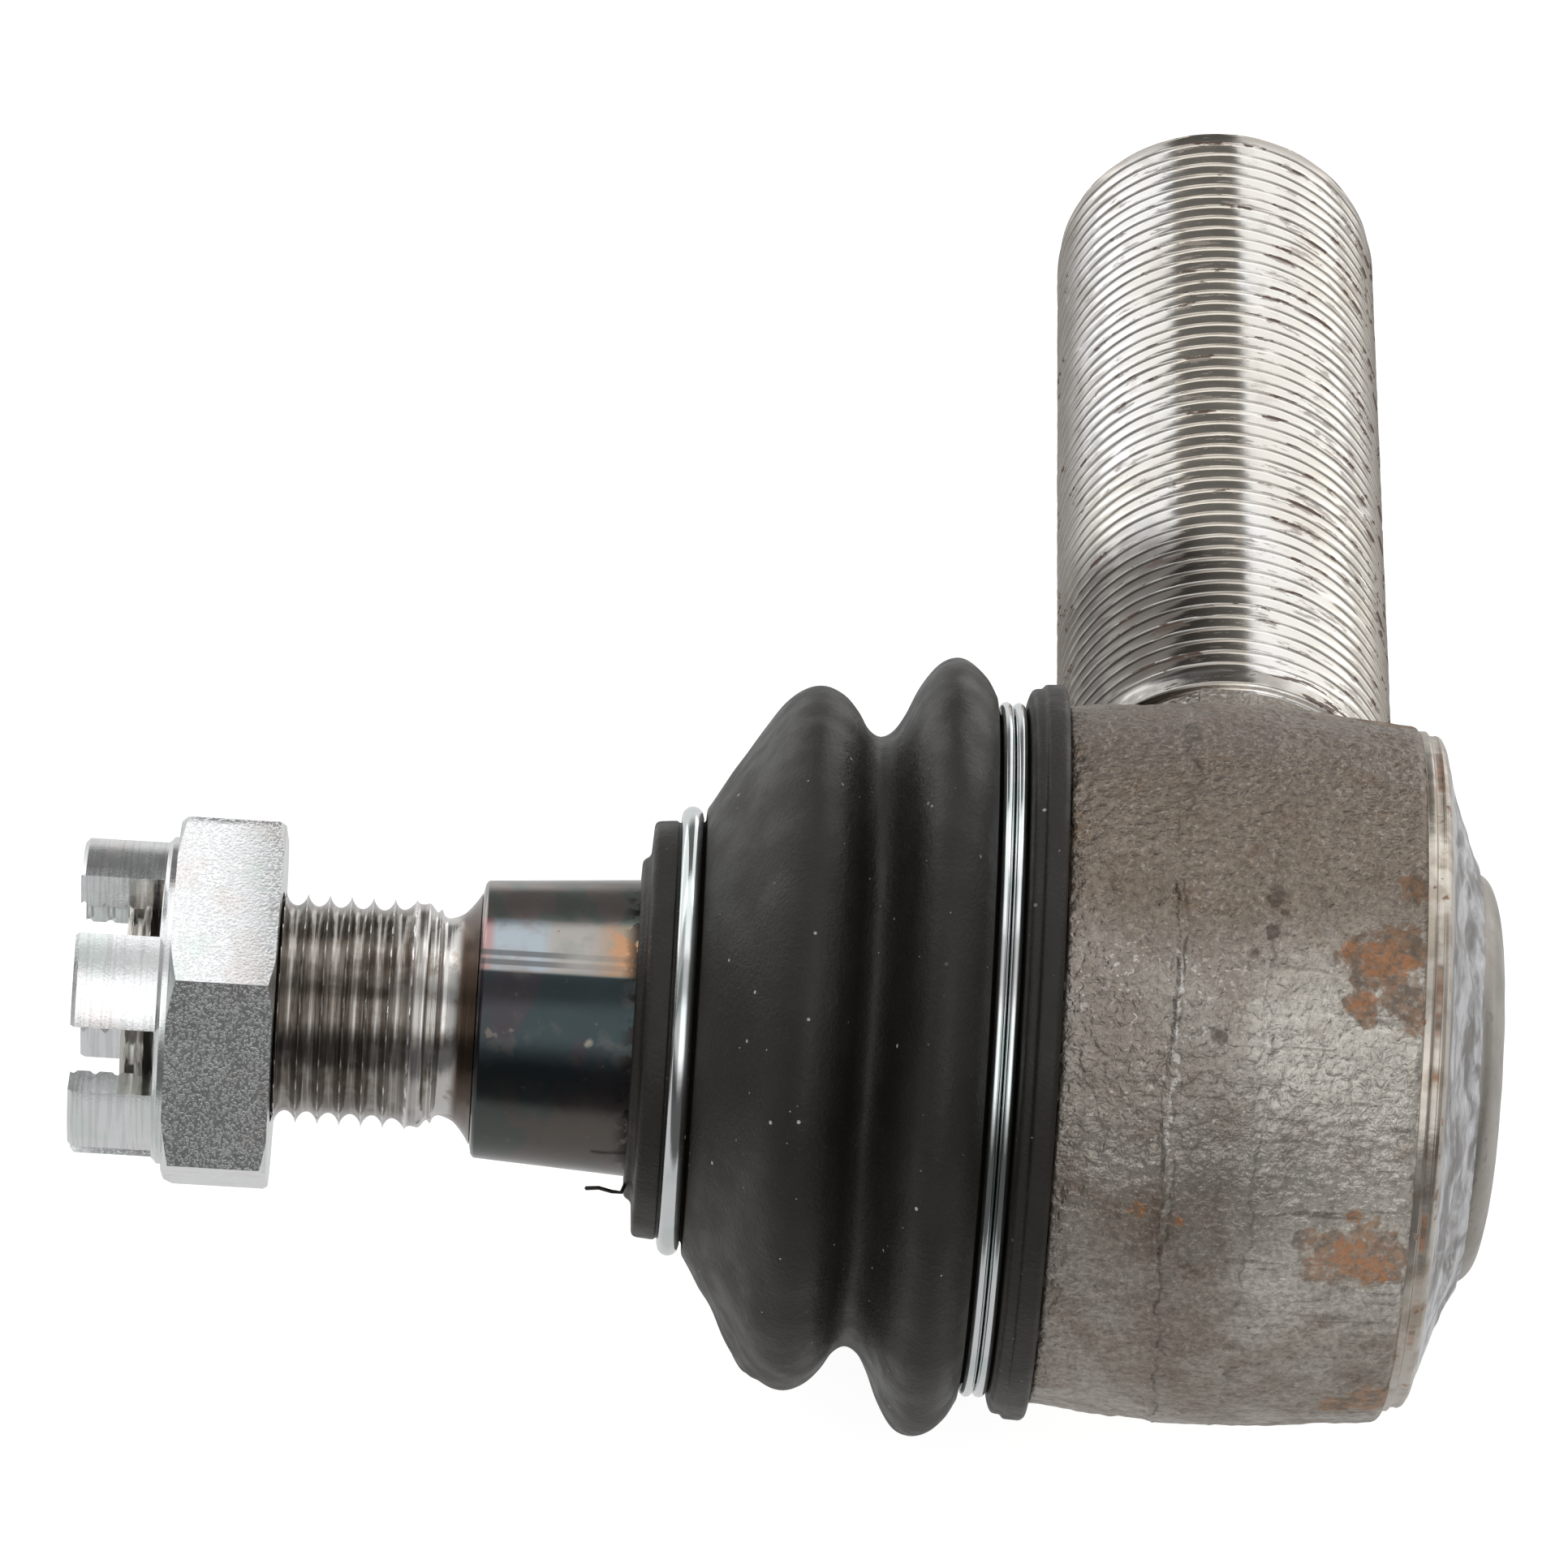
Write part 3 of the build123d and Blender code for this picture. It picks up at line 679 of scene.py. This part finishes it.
FORGED = forged_steel()
MACHINED = machined_steel()
TAPER = taper_steel()
STUD = stud_steel()
ZINC_HEX = zinc("zinc_peened", 0.014, 0.001, 0.12, 0.0)
ZINC_CASTLE = zinc("zinc_turned", 0.004, 0.014, 0.1, 0.22)
WIRE = ring_wire()
RUBBER = boot_rubber()
CRIMP = crimped_steel()
COVER = cover_steel()


# ---- housing

EYE_FRONT = 12.7
EYE_REAR = -11.8
EYE_R = 24.05
LAND_R = 24.75


def make_eye():
    """The forged eye: drafted both ways from a land between two parting seams, with a leathery skin."""
    line = rounded([(20.0, EYE_FRONT), (EYE_R - 0.05, EYE_FRONT), (LAND_R, 3.9), (LAND_R, -1.5),
                    (EYE_R, EYE_REAR + 0.65), (EYE_R - 0.45, EYE_REAR + 0.25), (22.6, EYE_REAR + 0.2)], 0.3)
    line = spaced(line, 0.16)

    def warp(r, s, a):
        p = on_stud(r, s, a) * 1000
        flat = p * (0, 1, 1)
        skin = r > 23.7
        around = np.stack([0 * a, np.sin(a), np.cos(a)], -1)
        seam = FRONT_SEAM + around @ FRONT_SWAY
        seam += 0.22 * ripple(flat, 9, 1) + 0.1 * ripple(flat, 2, 2)
        rear_seam = REAR_SEAM + around @ REAR_SWAY
        rear_seam += 0.25 * ripple(flat, 6, 6)
        before = s - seam
        behind = rear_seam - s
        front, back = eased(before, -0.3, 0.3), eased(behind, -0.3, 0.3)
        bottom = eased(-np.cos(a), 0.2, 0.9)
        lift = 0.024 * ripple(p, 1.2, 3) * (0.7 + 0.8 * front + 0.5 * back) + 0.05 * ripple(p, 5.0, 4)
        lift += 0.022 * ripple(p * (0.12, 1, 1), 0.9, 5) * back
        lift += 0.16 * bottom * eased(s, -9, 2)
        lift -= 0.12 * eased(before, -0.12, 0.18) * (1 - 0.4 * bottom)
        crack = eased(ripple(flat, 5, 7), -0.9, 0.3)
        lift += 0.11 * crack * np.exp(-((before + 0.1) / 0.16) ** 2)
        lift -= 0.06 * crack * np.exp(-((before - 0.22) / 0.14) ** 2) * eased(np.cos(a), -0.1, 0.5)
        ridge = eased(ripple(flat, 4, 8), -0.2, 0.8)
        lift += 0.08 * ridge * np.exp(-(behind / 0.2) ** 2) - 0.06 * eased(behind, -0.1, 0.3)
        return r + skin * lift, s

    eye = lathe("eye_forging", line, 720, FORGED, warp=warp)
    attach(eye, "rod_side")
    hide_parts("housing")


def make_web():
    """The parting land carried on up both sides of the shank's neck, as a low tongue."""
    web = bmesh.new()
    bmesh.ops.create_cube(web, size=1.0)
    width, start, end, height = 4.2, 16.0, 28.5, 24.1
    for corner in web.verts:
        x, y, z = corner.co
        corner.co = (BALL_X - 0.75 + x * width, (start + end) / 2 + y * (end - start), z * height)
    bmesh.ops.bevel(web, geom=list(web.edges), offset=0.35, segments=2, affect="EDGES", profile=0.5)
    for vertex in web.verts:
        vertex.co /= 1000
    mesh = bpy.data.meshes.new("neck_web")
    web.to_mesh(mesh)
    web.free()
    dress(mesh, FORGED, 40)
    tongue = show("neck_web", mesh)
    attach(tongue, "rod_side")


def make_nose():
    """The nose inside the boot, and the socket's mouth."""
    line = rounded([(22.6, EYE_FRONT - 0.4), (20.8, EYE_FRONT - 0.2), (20.8, 18.9), (16.9, 18.9),
                    (12.8, 7.75), (16.9, 7.75), (16.9, 6.0)], 0.3)
    nose = lathe("eye_nose", line, 160, FORGED)
    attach(nose, "rod_side")


def make_rolled_lip():
    """The eye's rear lip: a turned edge with a groove, then a hollow cone rolled over the cover."""
    line = rounded([(21.5, -11.2), (23.42, -11.45), (23.44, -12.05), (23.16, -12.15), (23.12, -12.6),
                    (23.18, -12.72), (23.06, -13.0), (22.6, -13.25)], 0.12, 3)
    cone = curved([(22.6, -13.25), (21.4, -13.56), (19.8, -14.06), (17.9, -14.7), (16.0, -15.45),
                   (14.9, -16.0), (14.45, -16.2)], 6)
    line = spaced(np.concatenate([line, cone[1:], [(14.32, -16.05), (14.32, -15.6)]]), 0.22)

    def warp(r, s, a):
        p = on_stud(r, s, a) * 1000
        rolled = eased(-r, -22.3, -20.5) * eased(r, 14.15, 14.8)
        across = on_stud(r * 0.35 + 14, s, a) * 1000
        dents = 0.075 * ripple(across, 3.2, 21) + 0.03 * ripple(p, 1.5, 22)
        edge = 0.1 * eased(-r, -15.2, -14.2) * ripple(p, 4.0, 23)
        higher = 0.28 * np.cos(a) * eased(r, 18.0, 22.9)
        return r + edge + higher, s - rolled * dents

    lip = lathe("rolled_lip", line, 420, CRIMP, warp=warp)
    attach(lip, "rod_side")


def thread_depth(phase, depth, sharpness):
    """How far below its crest a thread lies at a phase of its pitch; the crest is at phase 0."""
    return depth * np.sin(math.pi * phase) ** sharpness


def ridge_depth(phase, depth, half_width):
    """The same for a narrow crest between wide, nearly flat roots; half_width is in pitches."""
    from_crest = np.minimum(phase % 1, 1 - phase % 1)
    return depth * (0.85 * eased(from_crest, 0, half_width) + 0.15 * np.sin(math.pi * phase) ** 2)


SHANK_START = 29.0
SHANK_NECK_R = 11.4


def make_shank():
    """The shank: a forged neck, a plain collar, then a right-hand M24x1.5 thread to its chamfered end."""
    end_chamfer = 0.3

    def radius_at(length, angle, phase):
        cut = ridge_depth(phase, 0.2, 0.16) * eased(length, SHANK_START + 1.2, SHANK_START + 3.5)
        place = np.stack([np.cos(angle) * SHANK_R, length, np.sin(angle) * SHANK_R], -1)
        nicks = 0.06 * eased(ripple(place, 2.5, 31), 1.1, 1.6) * (cut < 0.15)
        full = SHANK_R - 0.03 - cut - nicks + 0.012 * ripple(place * (0.4, 1, 0.4), 1.2, 32)
        full = SHANK_NECK_R + (full - SHANK_NECK_R) * eased(length, SHANK_START, SHANK_START + 0.45)
        bevel = SHANK_R - end_chamfer * np.clip((length - (SHANK_END - end_chamfer)) / end_chamfer, 0, 1)
        return np.minimum(full, bevel)

    radius, length, angle, quads = threaded(SHANK_START, SHANK_END, 18, 200, radius_at)
    shank = piece("shank_thread", on_shank(radius, length, angle), quads, MACHINED, sharp=70)
    side = spaced(np.array([(SHANK_NECK_R, 18.0), (SHANK_NECK_R, SHANK_START + 0.1)]), 0.5)
    neck = lathe("shank_neck", side, 160, FORGED, place=on_shank)
    face = np.array([(SHANK_R - end_chamfer, 0), (9.0, -0.02), (3.0, -0.05), (2.3, -1.2), (0, -2.4)])
    face = rounded(face + (0, SHANK_END), 0.3)
    end = lathe("shank_end_face", face, 160, MACHINED, place=on_shank)
    for made, slot in ((shank, "machined_steel"), (neck, "forged_steel"), (end, "machined_steel")):
        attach(made, "rod_side")


def make_cover():
    """The domed cover plate: a cap with a rounded corner, standing out of the rolled lip."""
    dome = np.array([(0, 0), (3.5, 0.04), (7.0, 0.2), (9.7, 0.38), (11.5, 0.66), (12.8, 1.02),
                     (13.6, 1.45), (14.05, 2.0), (14.1, 2.6)])
    dome = curved(dome + (0, DOME_APEX), 6)
    line = np.concatenate([dome, [(19.3, -13.5), (19.3, -12.7), (16.7, -12.7), (12.5, -14.3), (0, -16.3)]])

    def warp(r, s, a):
        p = on_stud(r, s, a) * 1000
        return r, s + 0.015 * ripple(p, 3.0, 41) * (s < -16.3)

    cover = lathe("cover_dome", line, 240, COVER, warp=warp)
    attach(cover, "rod_side")
    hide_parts("cover_plate")


# ---- stud

BALL_R = 14.0
STUD_R = 8.0
TAPER_END = 51.7
THREAD_START = 55.0
THREAD_START_R = 7.15


def taper_r(station):
    return 10.0 + (44.5 - station) / 16


def make_stud():
    """The ball and neck, the ground taper with its relief, and a right-hand M16x1.5 thread."""
    ball = [(BALL_R * math.cos(t), BALL_R * math.sin(t)) for t in np.radians(np.arange(-59, 57, 2.0))]
    neck = [(7.5, 11.9), (7.5, 30.0), (10.3, 37.5), (taper_r(39.5), 39.5)]
    core = lathe("ball_and_neck", np.array([(0, -12), (7.2, -12), *ball, *neck]), 160, STUD)

    edge_r = taper_r(TAPER_END)
    tip_chamfer = 1.05
    line = rounded([(taper_r(39.0), 39.0), (edge_r, TAPER_END - 0.05), (edge_r - 0.22, TAPER_END + 0.15),
                    (edge_r - 1.0, TAPER_END + 0.3)], 0.1, 4)
    cone = lathe("stud_taper", line, 200, TAPER)

    relief = curved([(edge_r - 0.9, TAPER_END + 0.33), (8.0, TAPER_END + 0.75), (7.2, TAPER_END + 1.45),
                     (6.85, TAPER_END + 2.2), (6.8, 54.3), (7.0, 54.6), (7.35, 54.75),
                     (THREAD_START_R, THREAD_START)], 6)
    groove = lathe("stud_relief", relief, 160, STUD)

    def radius_at(station, angle, phase):
        cut = thread_depth(phase, 0.88, 0.55) * eased(station, THREAD_START - 0.6, THREAD_START + 3.2)
        full = STUD_R - 0.05 - cut
        full = THREAD_START_R + (full - THREAD_START_R) * eased(station, THREAD_START, THREAD_START + 0.7)
        bevel = STUD_R - tip_chamfer * np.clip((station - (STUD_END - tip_chamfer)) / tip_chamfer, 0, 1)
        return np.minimum(full, bevel)

    radius, station, angle, quads = threaded(THREAD_START, STUD_END, 24, 144, radius_at)
    thread = piece("stud_thread", on_stud(radius, station, angle), quads, STUD, sharp=60)
    tip = np.array([(STUD_R - tip_chamfer, 0), (5.0, -0.02), (1.6, -0.04), (0, -1.4)]) + (0, STUD_END)
    end = lathe("stud_end_face", rounded(tip, 0.2), 144, STUD)
    for made in (core, cone, groove, thread, end):
        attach(made, "stud")
    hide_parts("ball_stud")


# ---- nut

# Degrees from the nut's drawing, with a corner up, to the way it is screwed on
NUT_TURN = 11.3


def solid(name, points, faces):
    mesh = bpy.data.meshes.new(name)
    mesh.from_pydata(points, [], faces)
    return show(name, mesh)


def prism(name, corners, low, high):
    """A closed prism along local Z over a polygon of (x, y) corners."""
    n = len(corners)
    points = [(x, y, z) for z in (low, high) for x, y in corners]
    sides = [(k, (k + 1) % n, n + (k + 1) % n, n + k) for k in range(n)]
    return solid(name, points, [tuple(range(n))[::-1], tuple(range(n, 2 * n)), *sides])


def turned_solid(name, line, columns):
    """A closed solid of revolution about local Z from (r, z) points that start and end on the axis."""
    turn = angles(columns)
    rings = line[1:-1]
    points = [(0, 0, line[0][1]), (0, 0, line[-1][1])]
    points += [(r * math.cos(t), r * math.sin(t), z) for r, z in rings for t in turn]
    faces = []
    last = 2 + (len(rings) - 1) * columns
    for k in range(columns):
        k2 = (k + 1) % columns
        faces += [(0, 2 + k2, 2 + k), (1, last + k, last + k2)]
        for i in range(len(rings) - 1):
            a = 2 + i * columns
            faces.append((a + k, a + k2, a + columns + k2, a + columns + k))
    return solid(name, points, faces)


def combine(target, operation, other):
    """target with a Boolean applied, and other removed."""
    cut = target.modifiers.new(operation, "BOOLEAN")
    cut.operation = operation
    cut.solver = "EXACT"
    cut.object = other
    bake_modifiers(target)
    bpy.data.objects.remove(other)


def bake_modifiers(target):
    bpy.context.view_layer.update()
    evaluated = target.evaluated_get(bpy.context.evaluated_depsgraph_get())
    mesh = bpy.data.meshes.new_from_object(evaluated)
    target.modifiers.clear()
    target.data = mesh


def thread_cutter(low, high):
    """A closed screw as large as the inside of the nut's thread, about local Z."""
    def radius_at(z, angle, phase):
        return STUD_R + 0.15 - thread_depth(phase, 0.95, 1.0)

    radius, z, angle, quads = threaded(low, high, 8, 72, radius_at)
    points = np.stack([radius * np.cos(angle), radius * np.sin(angle), z], -1)
    return show("screw", clean_mesh("screw", points, quads, 1e-5, fill=True))


def make_nut():
    """A thin castle nut: chamfered hexagon, collar, six teeth over its corners and a cut thread."""
    hex_top, collar_top, height = 7.2, 8.0, NUT_END - NUT_START
    half_flats, castle_r, slot = 12.0, 10.9, 4.8
    corner_r = half_flats / math.cos(math.radians(30))
    hexagon = prism("castle_nut_body", [(corner_r * math.cos(t), corner_r * math.sin(t))
                                        for t in np.radians(60 * np.arange(6))], 0, hex_top)
    chamfer = turned_solid("nut_chamfer", [(0, 0), (12.9, 0), (14.3, 0.55), (14.3, hex_top - 0.75),
                                           (12.5, hex_top), (0, hex_top)], 240)
    combine(hexagon, "INTERSECT", chamfer)
    castle = [(0, 1.0), (9.0, 1.0), (9.0, hex_top), (11.25, hex_top - 0.02), (11.25, collar_top - 0.35),
              (castle_r, collar_top - 0.05), (castle_r, height - 0.3), (castle_r - 0.3, height), (0, height)]
    castle = turned_solid("nut_castle", castle, 240)
    combine(hexagon, "UNION", castle)
    for k in range(3):
        t = math.radians(30 + 60 * k)
        along, across = Vector((math.cos(t), math.sin(t))), Vector((-math.sin(t), math.cos(t)))
        corners = [tuple(along * u * 16 + across * v * slot / 2) for u, v in SQUARE]
        combine(hexagon, "DIFFERENCE", prism("slot", corners, collar_top, height + 2))
    bore = turned_solid("bore", [(0, -1), (9.0, -1), (7.55, 0.45), (7.55, height + 1), (0, height + 1)], 144)
    combine(hexagon, "DIFFERENCE", bore)
    bevel = hexagon.modifiers.new("edges", "BEVEL")
    bevel.width = 0.2
    bevel.segments = 2
    bevel.angle_limit = math.radians(34)
    bake_modifiers(hexagon)
    combine(hexagon, "DIFFERENCE", thread_cutter(-2 * PITCH, height + 2 * PITCH))
    mesh = hexagon.data
    turn = Matrix.Rotation(math.radians(NUT_TURN), 4, "Z")
    to_row = Matrix(((0, 0, -1, BALL_X - NUT_START), (0, 1, 0, 0), (1, 0, 0, 0), (0, 0, 0, 1)))
    mesh.transform(to_row @ turn)
    mesh.transform(Matrix.Scale(0.001, 4))
    mesh.materials.clear()
    mesh.materials.append(ZINC_HEX)
    mesh.materials.append(ZINC_CASTLE)
    for face in mesh.polygons:
        station = BALL_X - face.center.x * 1000
        away = math.hypot(face.center.y, face.center.z) * 1000
        flat = abs(face.normal.x) < 0.3 and away > 11.4
        face.material_index = 0 if flat and station < NUT_START + hex_top else 1
        # The broad faces are flat; the bevels and the thread, of faces under 3 mm2, are shaded smooth
        face.use_smooth = face.area * 1e6 < 3.0
    mesh.set_sharp_from_angle(angle=math.radians(30))
    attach(hexagon, "nut")
    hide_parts("castle_nut")


# ---- boot

def boot_outline():
    """The boot's closed section, from its lip at the eye over both folds to the neck, and back inside."""
    base = rounded([(20.95, BOOT_START), (25.1, BOOT_START), (25.35, 13.1), (25.3, 14.25), (25.0, 14.45),
                    (24.95, 15.1), (24.3, 15.35), (23.0, 15.5), (23.0, 17.45), (24.3, 17.6)], 0.35, 3)
    folds = curved([(24.3, 17.6), (25.5, 18.3), (26.5, 19.4), (26.8, 20.5), (26.3, 21.7), (24.8, 22.8),
                    (22.8, 23.7), (21.5, 24.5), (21.0, 25.4), (21.5, 26.3), (22.7, 27.1), (23.7, 28.1),
                    (24.2, 29.4), (23.9, 30.7), (22.9, 32.0), (21.2, 33.2), (19.0, 34.6), (16.9, 36.0),
                    (15.75, 36.72)], 5)
    neck = rounded([(15.7, 36.75), (15.35, 36.98), (14.35, 37.02), (14.3, 38.85), (14.42, 38.95),
                    (14.42, 39.2), (14.3, 40.5), (11.9, 40.65), (11.6, 41.2), (10.35, 41.25),
                    (10.3, 40.8)], 0.38, 3)
    inside = curved([(12.4, 40.6), (12.4, 36.6), (13.4, 35.6), (21.3, 30.6), (22.0, 29.4), (20.8, 27.9),
                     (19.1, 26.4), (18.9, 25.0), (20.6, 23.0), (23.6, 21.7), (24.6, 20.5), (23.4, 19.5),
                     (20.95, 18.6)], 4)
    return np.concatenate([base[:-1], folds[:-1], neck, inside])


def make_boot():
    """The bellows, its base fitted to the housing, with a whisker of flash at its neck."""
    line = spaced(boot_outline(), 0.45)

    def warp(r, s, a):
        p = on_stud(r, s, a) * 1000
        free = eased(s, 17.6, 19.5) * (1 - eased(s, 35.0, 36.8))
        low = eased(-np.cos(a), 0.55, 0.85) * eased(s, 31.0, 32.5) * (1 - eased(s, 35.6, 36.6))
        sag = 0.1 * ripple(p, 16, 51) + 0.03 * ripple(p, 4, 52) + 0.3 * low * (0.9 + ripple(p, 4.5, 54))
        return r + free * sag, s + free * 0.1 * ripple(p, 20, 53)

    boot = lathe("boot_bellows", line, 320, RUBBER, warp=warp, closed=True, sharp=50)
    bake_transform(boot)
    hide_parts("dust_boot")
    r, s, a = np.array([(11.2, 41.0, -122), (12.1, 41.35, -123), (12.0, 42.0, -124), (11.75, 42.9, -124.5),
                        (11.8, 43.8, -125)]).T
    whisker = tube("boot_flash", on_stud(r, s, np.radians(a)), 0.15, RUBBER, 6)
    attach(whisker, "boot_neck")


# ---- rings

def tube(name, path, radius, material, sides=12):
    """A round wire along a path of points in metres, closed at both ends by a rounded tip."""
    ahead = np.gradient(path, axis=0)
    ahead /= np.linalg.norm(ahead, axis=1, keepdims=True)
    side = np.cross(ahead, (1, 0, 0))
    side /= np.linalg.norm(side, axis=1, keepdims=True)
    up = np.cross(side, ahead)
    radius_m = radius / 1000
    centres = np.concatenate([path[:1] - ahead[:1] * radius_m * 0.6, path,
                              path[-1:] + ahead[-1:] * radius_m * 0.6])
    side, up = (np.pad(v, ((1, 1), (0, 0)), "edge") for v in (side, up))
    grow = np.pad(np.full(len(path), radius_m), 1)
    turn = angles(sides)
    points = (centres[:, None] + grow[:, None, None] * (np.cos(turn)[None, :, None] * side[:, None]
                                                        + np.sin(turn)[None, :, None] * up[:, None]))
    return piece(name, points, grid_quads(len(centres), sides), material, sharp=60)


def make_ring(name, body, node, station, radius, wire, turns, start_angle):
    """A spring ring wound from wire, its turns side by side."""
    steps = 240 * turns + 1
    angle = np.linspace(0, turns, steps)
    lane = (eased(angle, 0.93, 1.0) * 2 - 1) * (turns - 1)
    kink = 0.012 * ripple(angle[:, None] * (60, 0, 0), 5, 71)
    path = on_stud(radius + kink, station + lane * wire * 0.53, (start_angle + angle) * TAU)
    ring = tube(name, path, wire / 2, WIRE)
    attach(ring, body)
    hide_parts(node)


# ---- stage, light and camera

def make_stage():
    """A pale floor that reaches the horizon."""
    half_m = 8.0
    floor = solid("floor", [(half_m * u, half_m * v, FLOOR_Z_M) for u, v in SQUARE], [(0, 1, 2, 3)])
    paint = principled("floor", Base_Color=(0.26, 0.26, 0.26, 1), Roughness=0.9, Specular_IOR_Level=0.1,
                       Emission_Color=(1, 1, 1, 1), Emission_Strength=0.94)
    floor.data.materials.append(paint[0])
    floor.visible_glossy = False


# Brightness of the studio round the stud's axis: degrees up from the camera's side, over the top and
# down behind, and down again below
STUDIO = [(-180, 0.75), (-150, 0.72), (-110, 0.6), (-42, 0.58), (-32, 0.11), (0, 0.1), (10, 0.45),
          (22, 1.45), (46, 1.42), (56, 0.6), (72, 0.6), (79, 1.22), (119, 1.22), (127, 0.22), (134, 0.16),
          (144, 0.14), (168, 0.18), (180, 0.75)]
BRIGHTEST = 2.0
SIDE_GLOW = 0.95
# How much the light from in front falls off to both sides
SIDE_DIM = 0.62
# Two bright walls stand behind the part, one on each side of a dim gap
GAP_MIDDLE = -0.105
GAP_HALF = 0.228


def make_light():
    """A studio of bright panels and dim gaps, as a sky."""
    world = bpy.data.worlds.new("studio")
    bpy.context.scene.world = world
    world.use_nodes = True
    w = Nodes(world.node_tree)
    x, y, z = w.node("SeparateXYZ", w.node("TexCoord").outputs["Generated"]).outputs
    turn = w.math("ARCTAN2", z, w.times(y, -1.0))
    ramp = w.node("ValToRGB", w.plus(w.math("DIVIDE", turn, TAU), 0.5))
    stops = ramp.color_ramp.elements
    while len(stops) < len(STUDIO):
        stops.new(0.5)
    for stop, (degrees, level) in zip(stops, STUDIO):
        stop.position = degrees / 360 + 0.5
        stop.color = (*[level / BRIGHTEST] * 3, 1)
    ahead = w.times(ramp.outputs[0], BRIGHTEST)
    walls = w.span(w.apart(x, GAP_MIDDLE), GAP_HALF - 0.015, GAP_HALF + 0.03)
    walls = w.times(walls, w.span(y, 0.1, 0.45))
    walls = w.times(walls, w.span(z, -0.12, 0.0))
    walls = w.times(walls, w.span(w.times(z, -1.0), -0.95, -0.75))
    forward = w.times(w.span(w.times(y, -1.0), -0.35, -0.1), w.span(z, -0.15, 0.05))
    dimmed = w.times(forward, w.span(w.math("ABSOLUTE", x), 0.24, 0.62))
    ahead = w.times(ahead, w.minus(1.0, w.times(dimmed, SIDE_DIM)))
    background = w.tree.nodes["Background"]
    w.put(background.inputs["Strength"], w.plus(ahead, w.times(walls, SIDE_GLOW)))
    w.put(background.inputs["Color"], (1, 1, 1))


# Where the camera stands, and in degrees how far it looks to the right of +Y and down
CAMERA_AT = (-1.6, -662.7, 474.3)
CAMERA_RIGHT = 1.215
CAMERA_DOWN = 34.363
CAMERA_ROLL = 4.134
LENS = 271.9


def make_camera():
    """A long lens, a little above the part and turned by a few degrees."""
    a, e = math.radians(CAMERA_RIGHT), math.radians(-CAMERA_DOWN)
    back = -Vector((math.sin(a) * math.cos(e), math.cos(a) * math.cos(e), math.sin(e)))
    data = bpy.data.cameras.new("camera")
    data.lens = LENS
    data.clip_start, data.clip_end = 0.05, 50.0
    camera = show("camera", data)
    level = back.to_track_quat("Z", "Y").to_matrix().to_4x4()
    roll = Matrix.Rotation(math.radians(CAMERA_ROLL), 4, "Z")
    camera.matrix_world = Matrix.Translation(Vector(CAMERA_AT) / 1000) @ level @ roll
    bpy.context.scene.camera = camera


# ---- the object

make_eye()
make_nose()
make_web()
make_rolled_lip()
make_shank()
make_cover()
make_stud()
make_nut()
make_boot()
make_ring("base_ring", "rod_side", "boot_base_clip", BASE_CLIP, 23.52, 0.84, 2, 0.25)
make_ring("neck_ring", "boot_neck", "boot_neck_clip", NECK_CLIP, 14.72, 1.52, 1, 0.42)

# The sealed pieces keep their CAD shape: node, finish, colour, roughness and metallic
INSIDE = [("front_bearing", "bearing_polymer", (0.62, 0.58, 0.5), 0.35, 0.0),
          ("pressure_seat", "seat_polymer", (0.58, 0.54, 0.46), 0.35, 0.0),
          ("cup_spring", "spring_steel", (0.1, 0.1, 0.11), 0.35, 0.9),
          ("cover_seal", "seal_rubber", (0.02, 0.02, 0.02), 0.6, 0.0),
          ("boot_neck_bush", "bush_polymer", (0.55, 0.52, 0.45), 0.4, 0.0)]
for node, *look in INSIDE:
    mesh = frame["nodes"][node].data
    mesh.materials.clear()
    mesh.materials.append(plain_inside(*look))

make_stage()
make_light()
make_camera()
bpy.context.scene.view_settings.view_transform = "Standard"
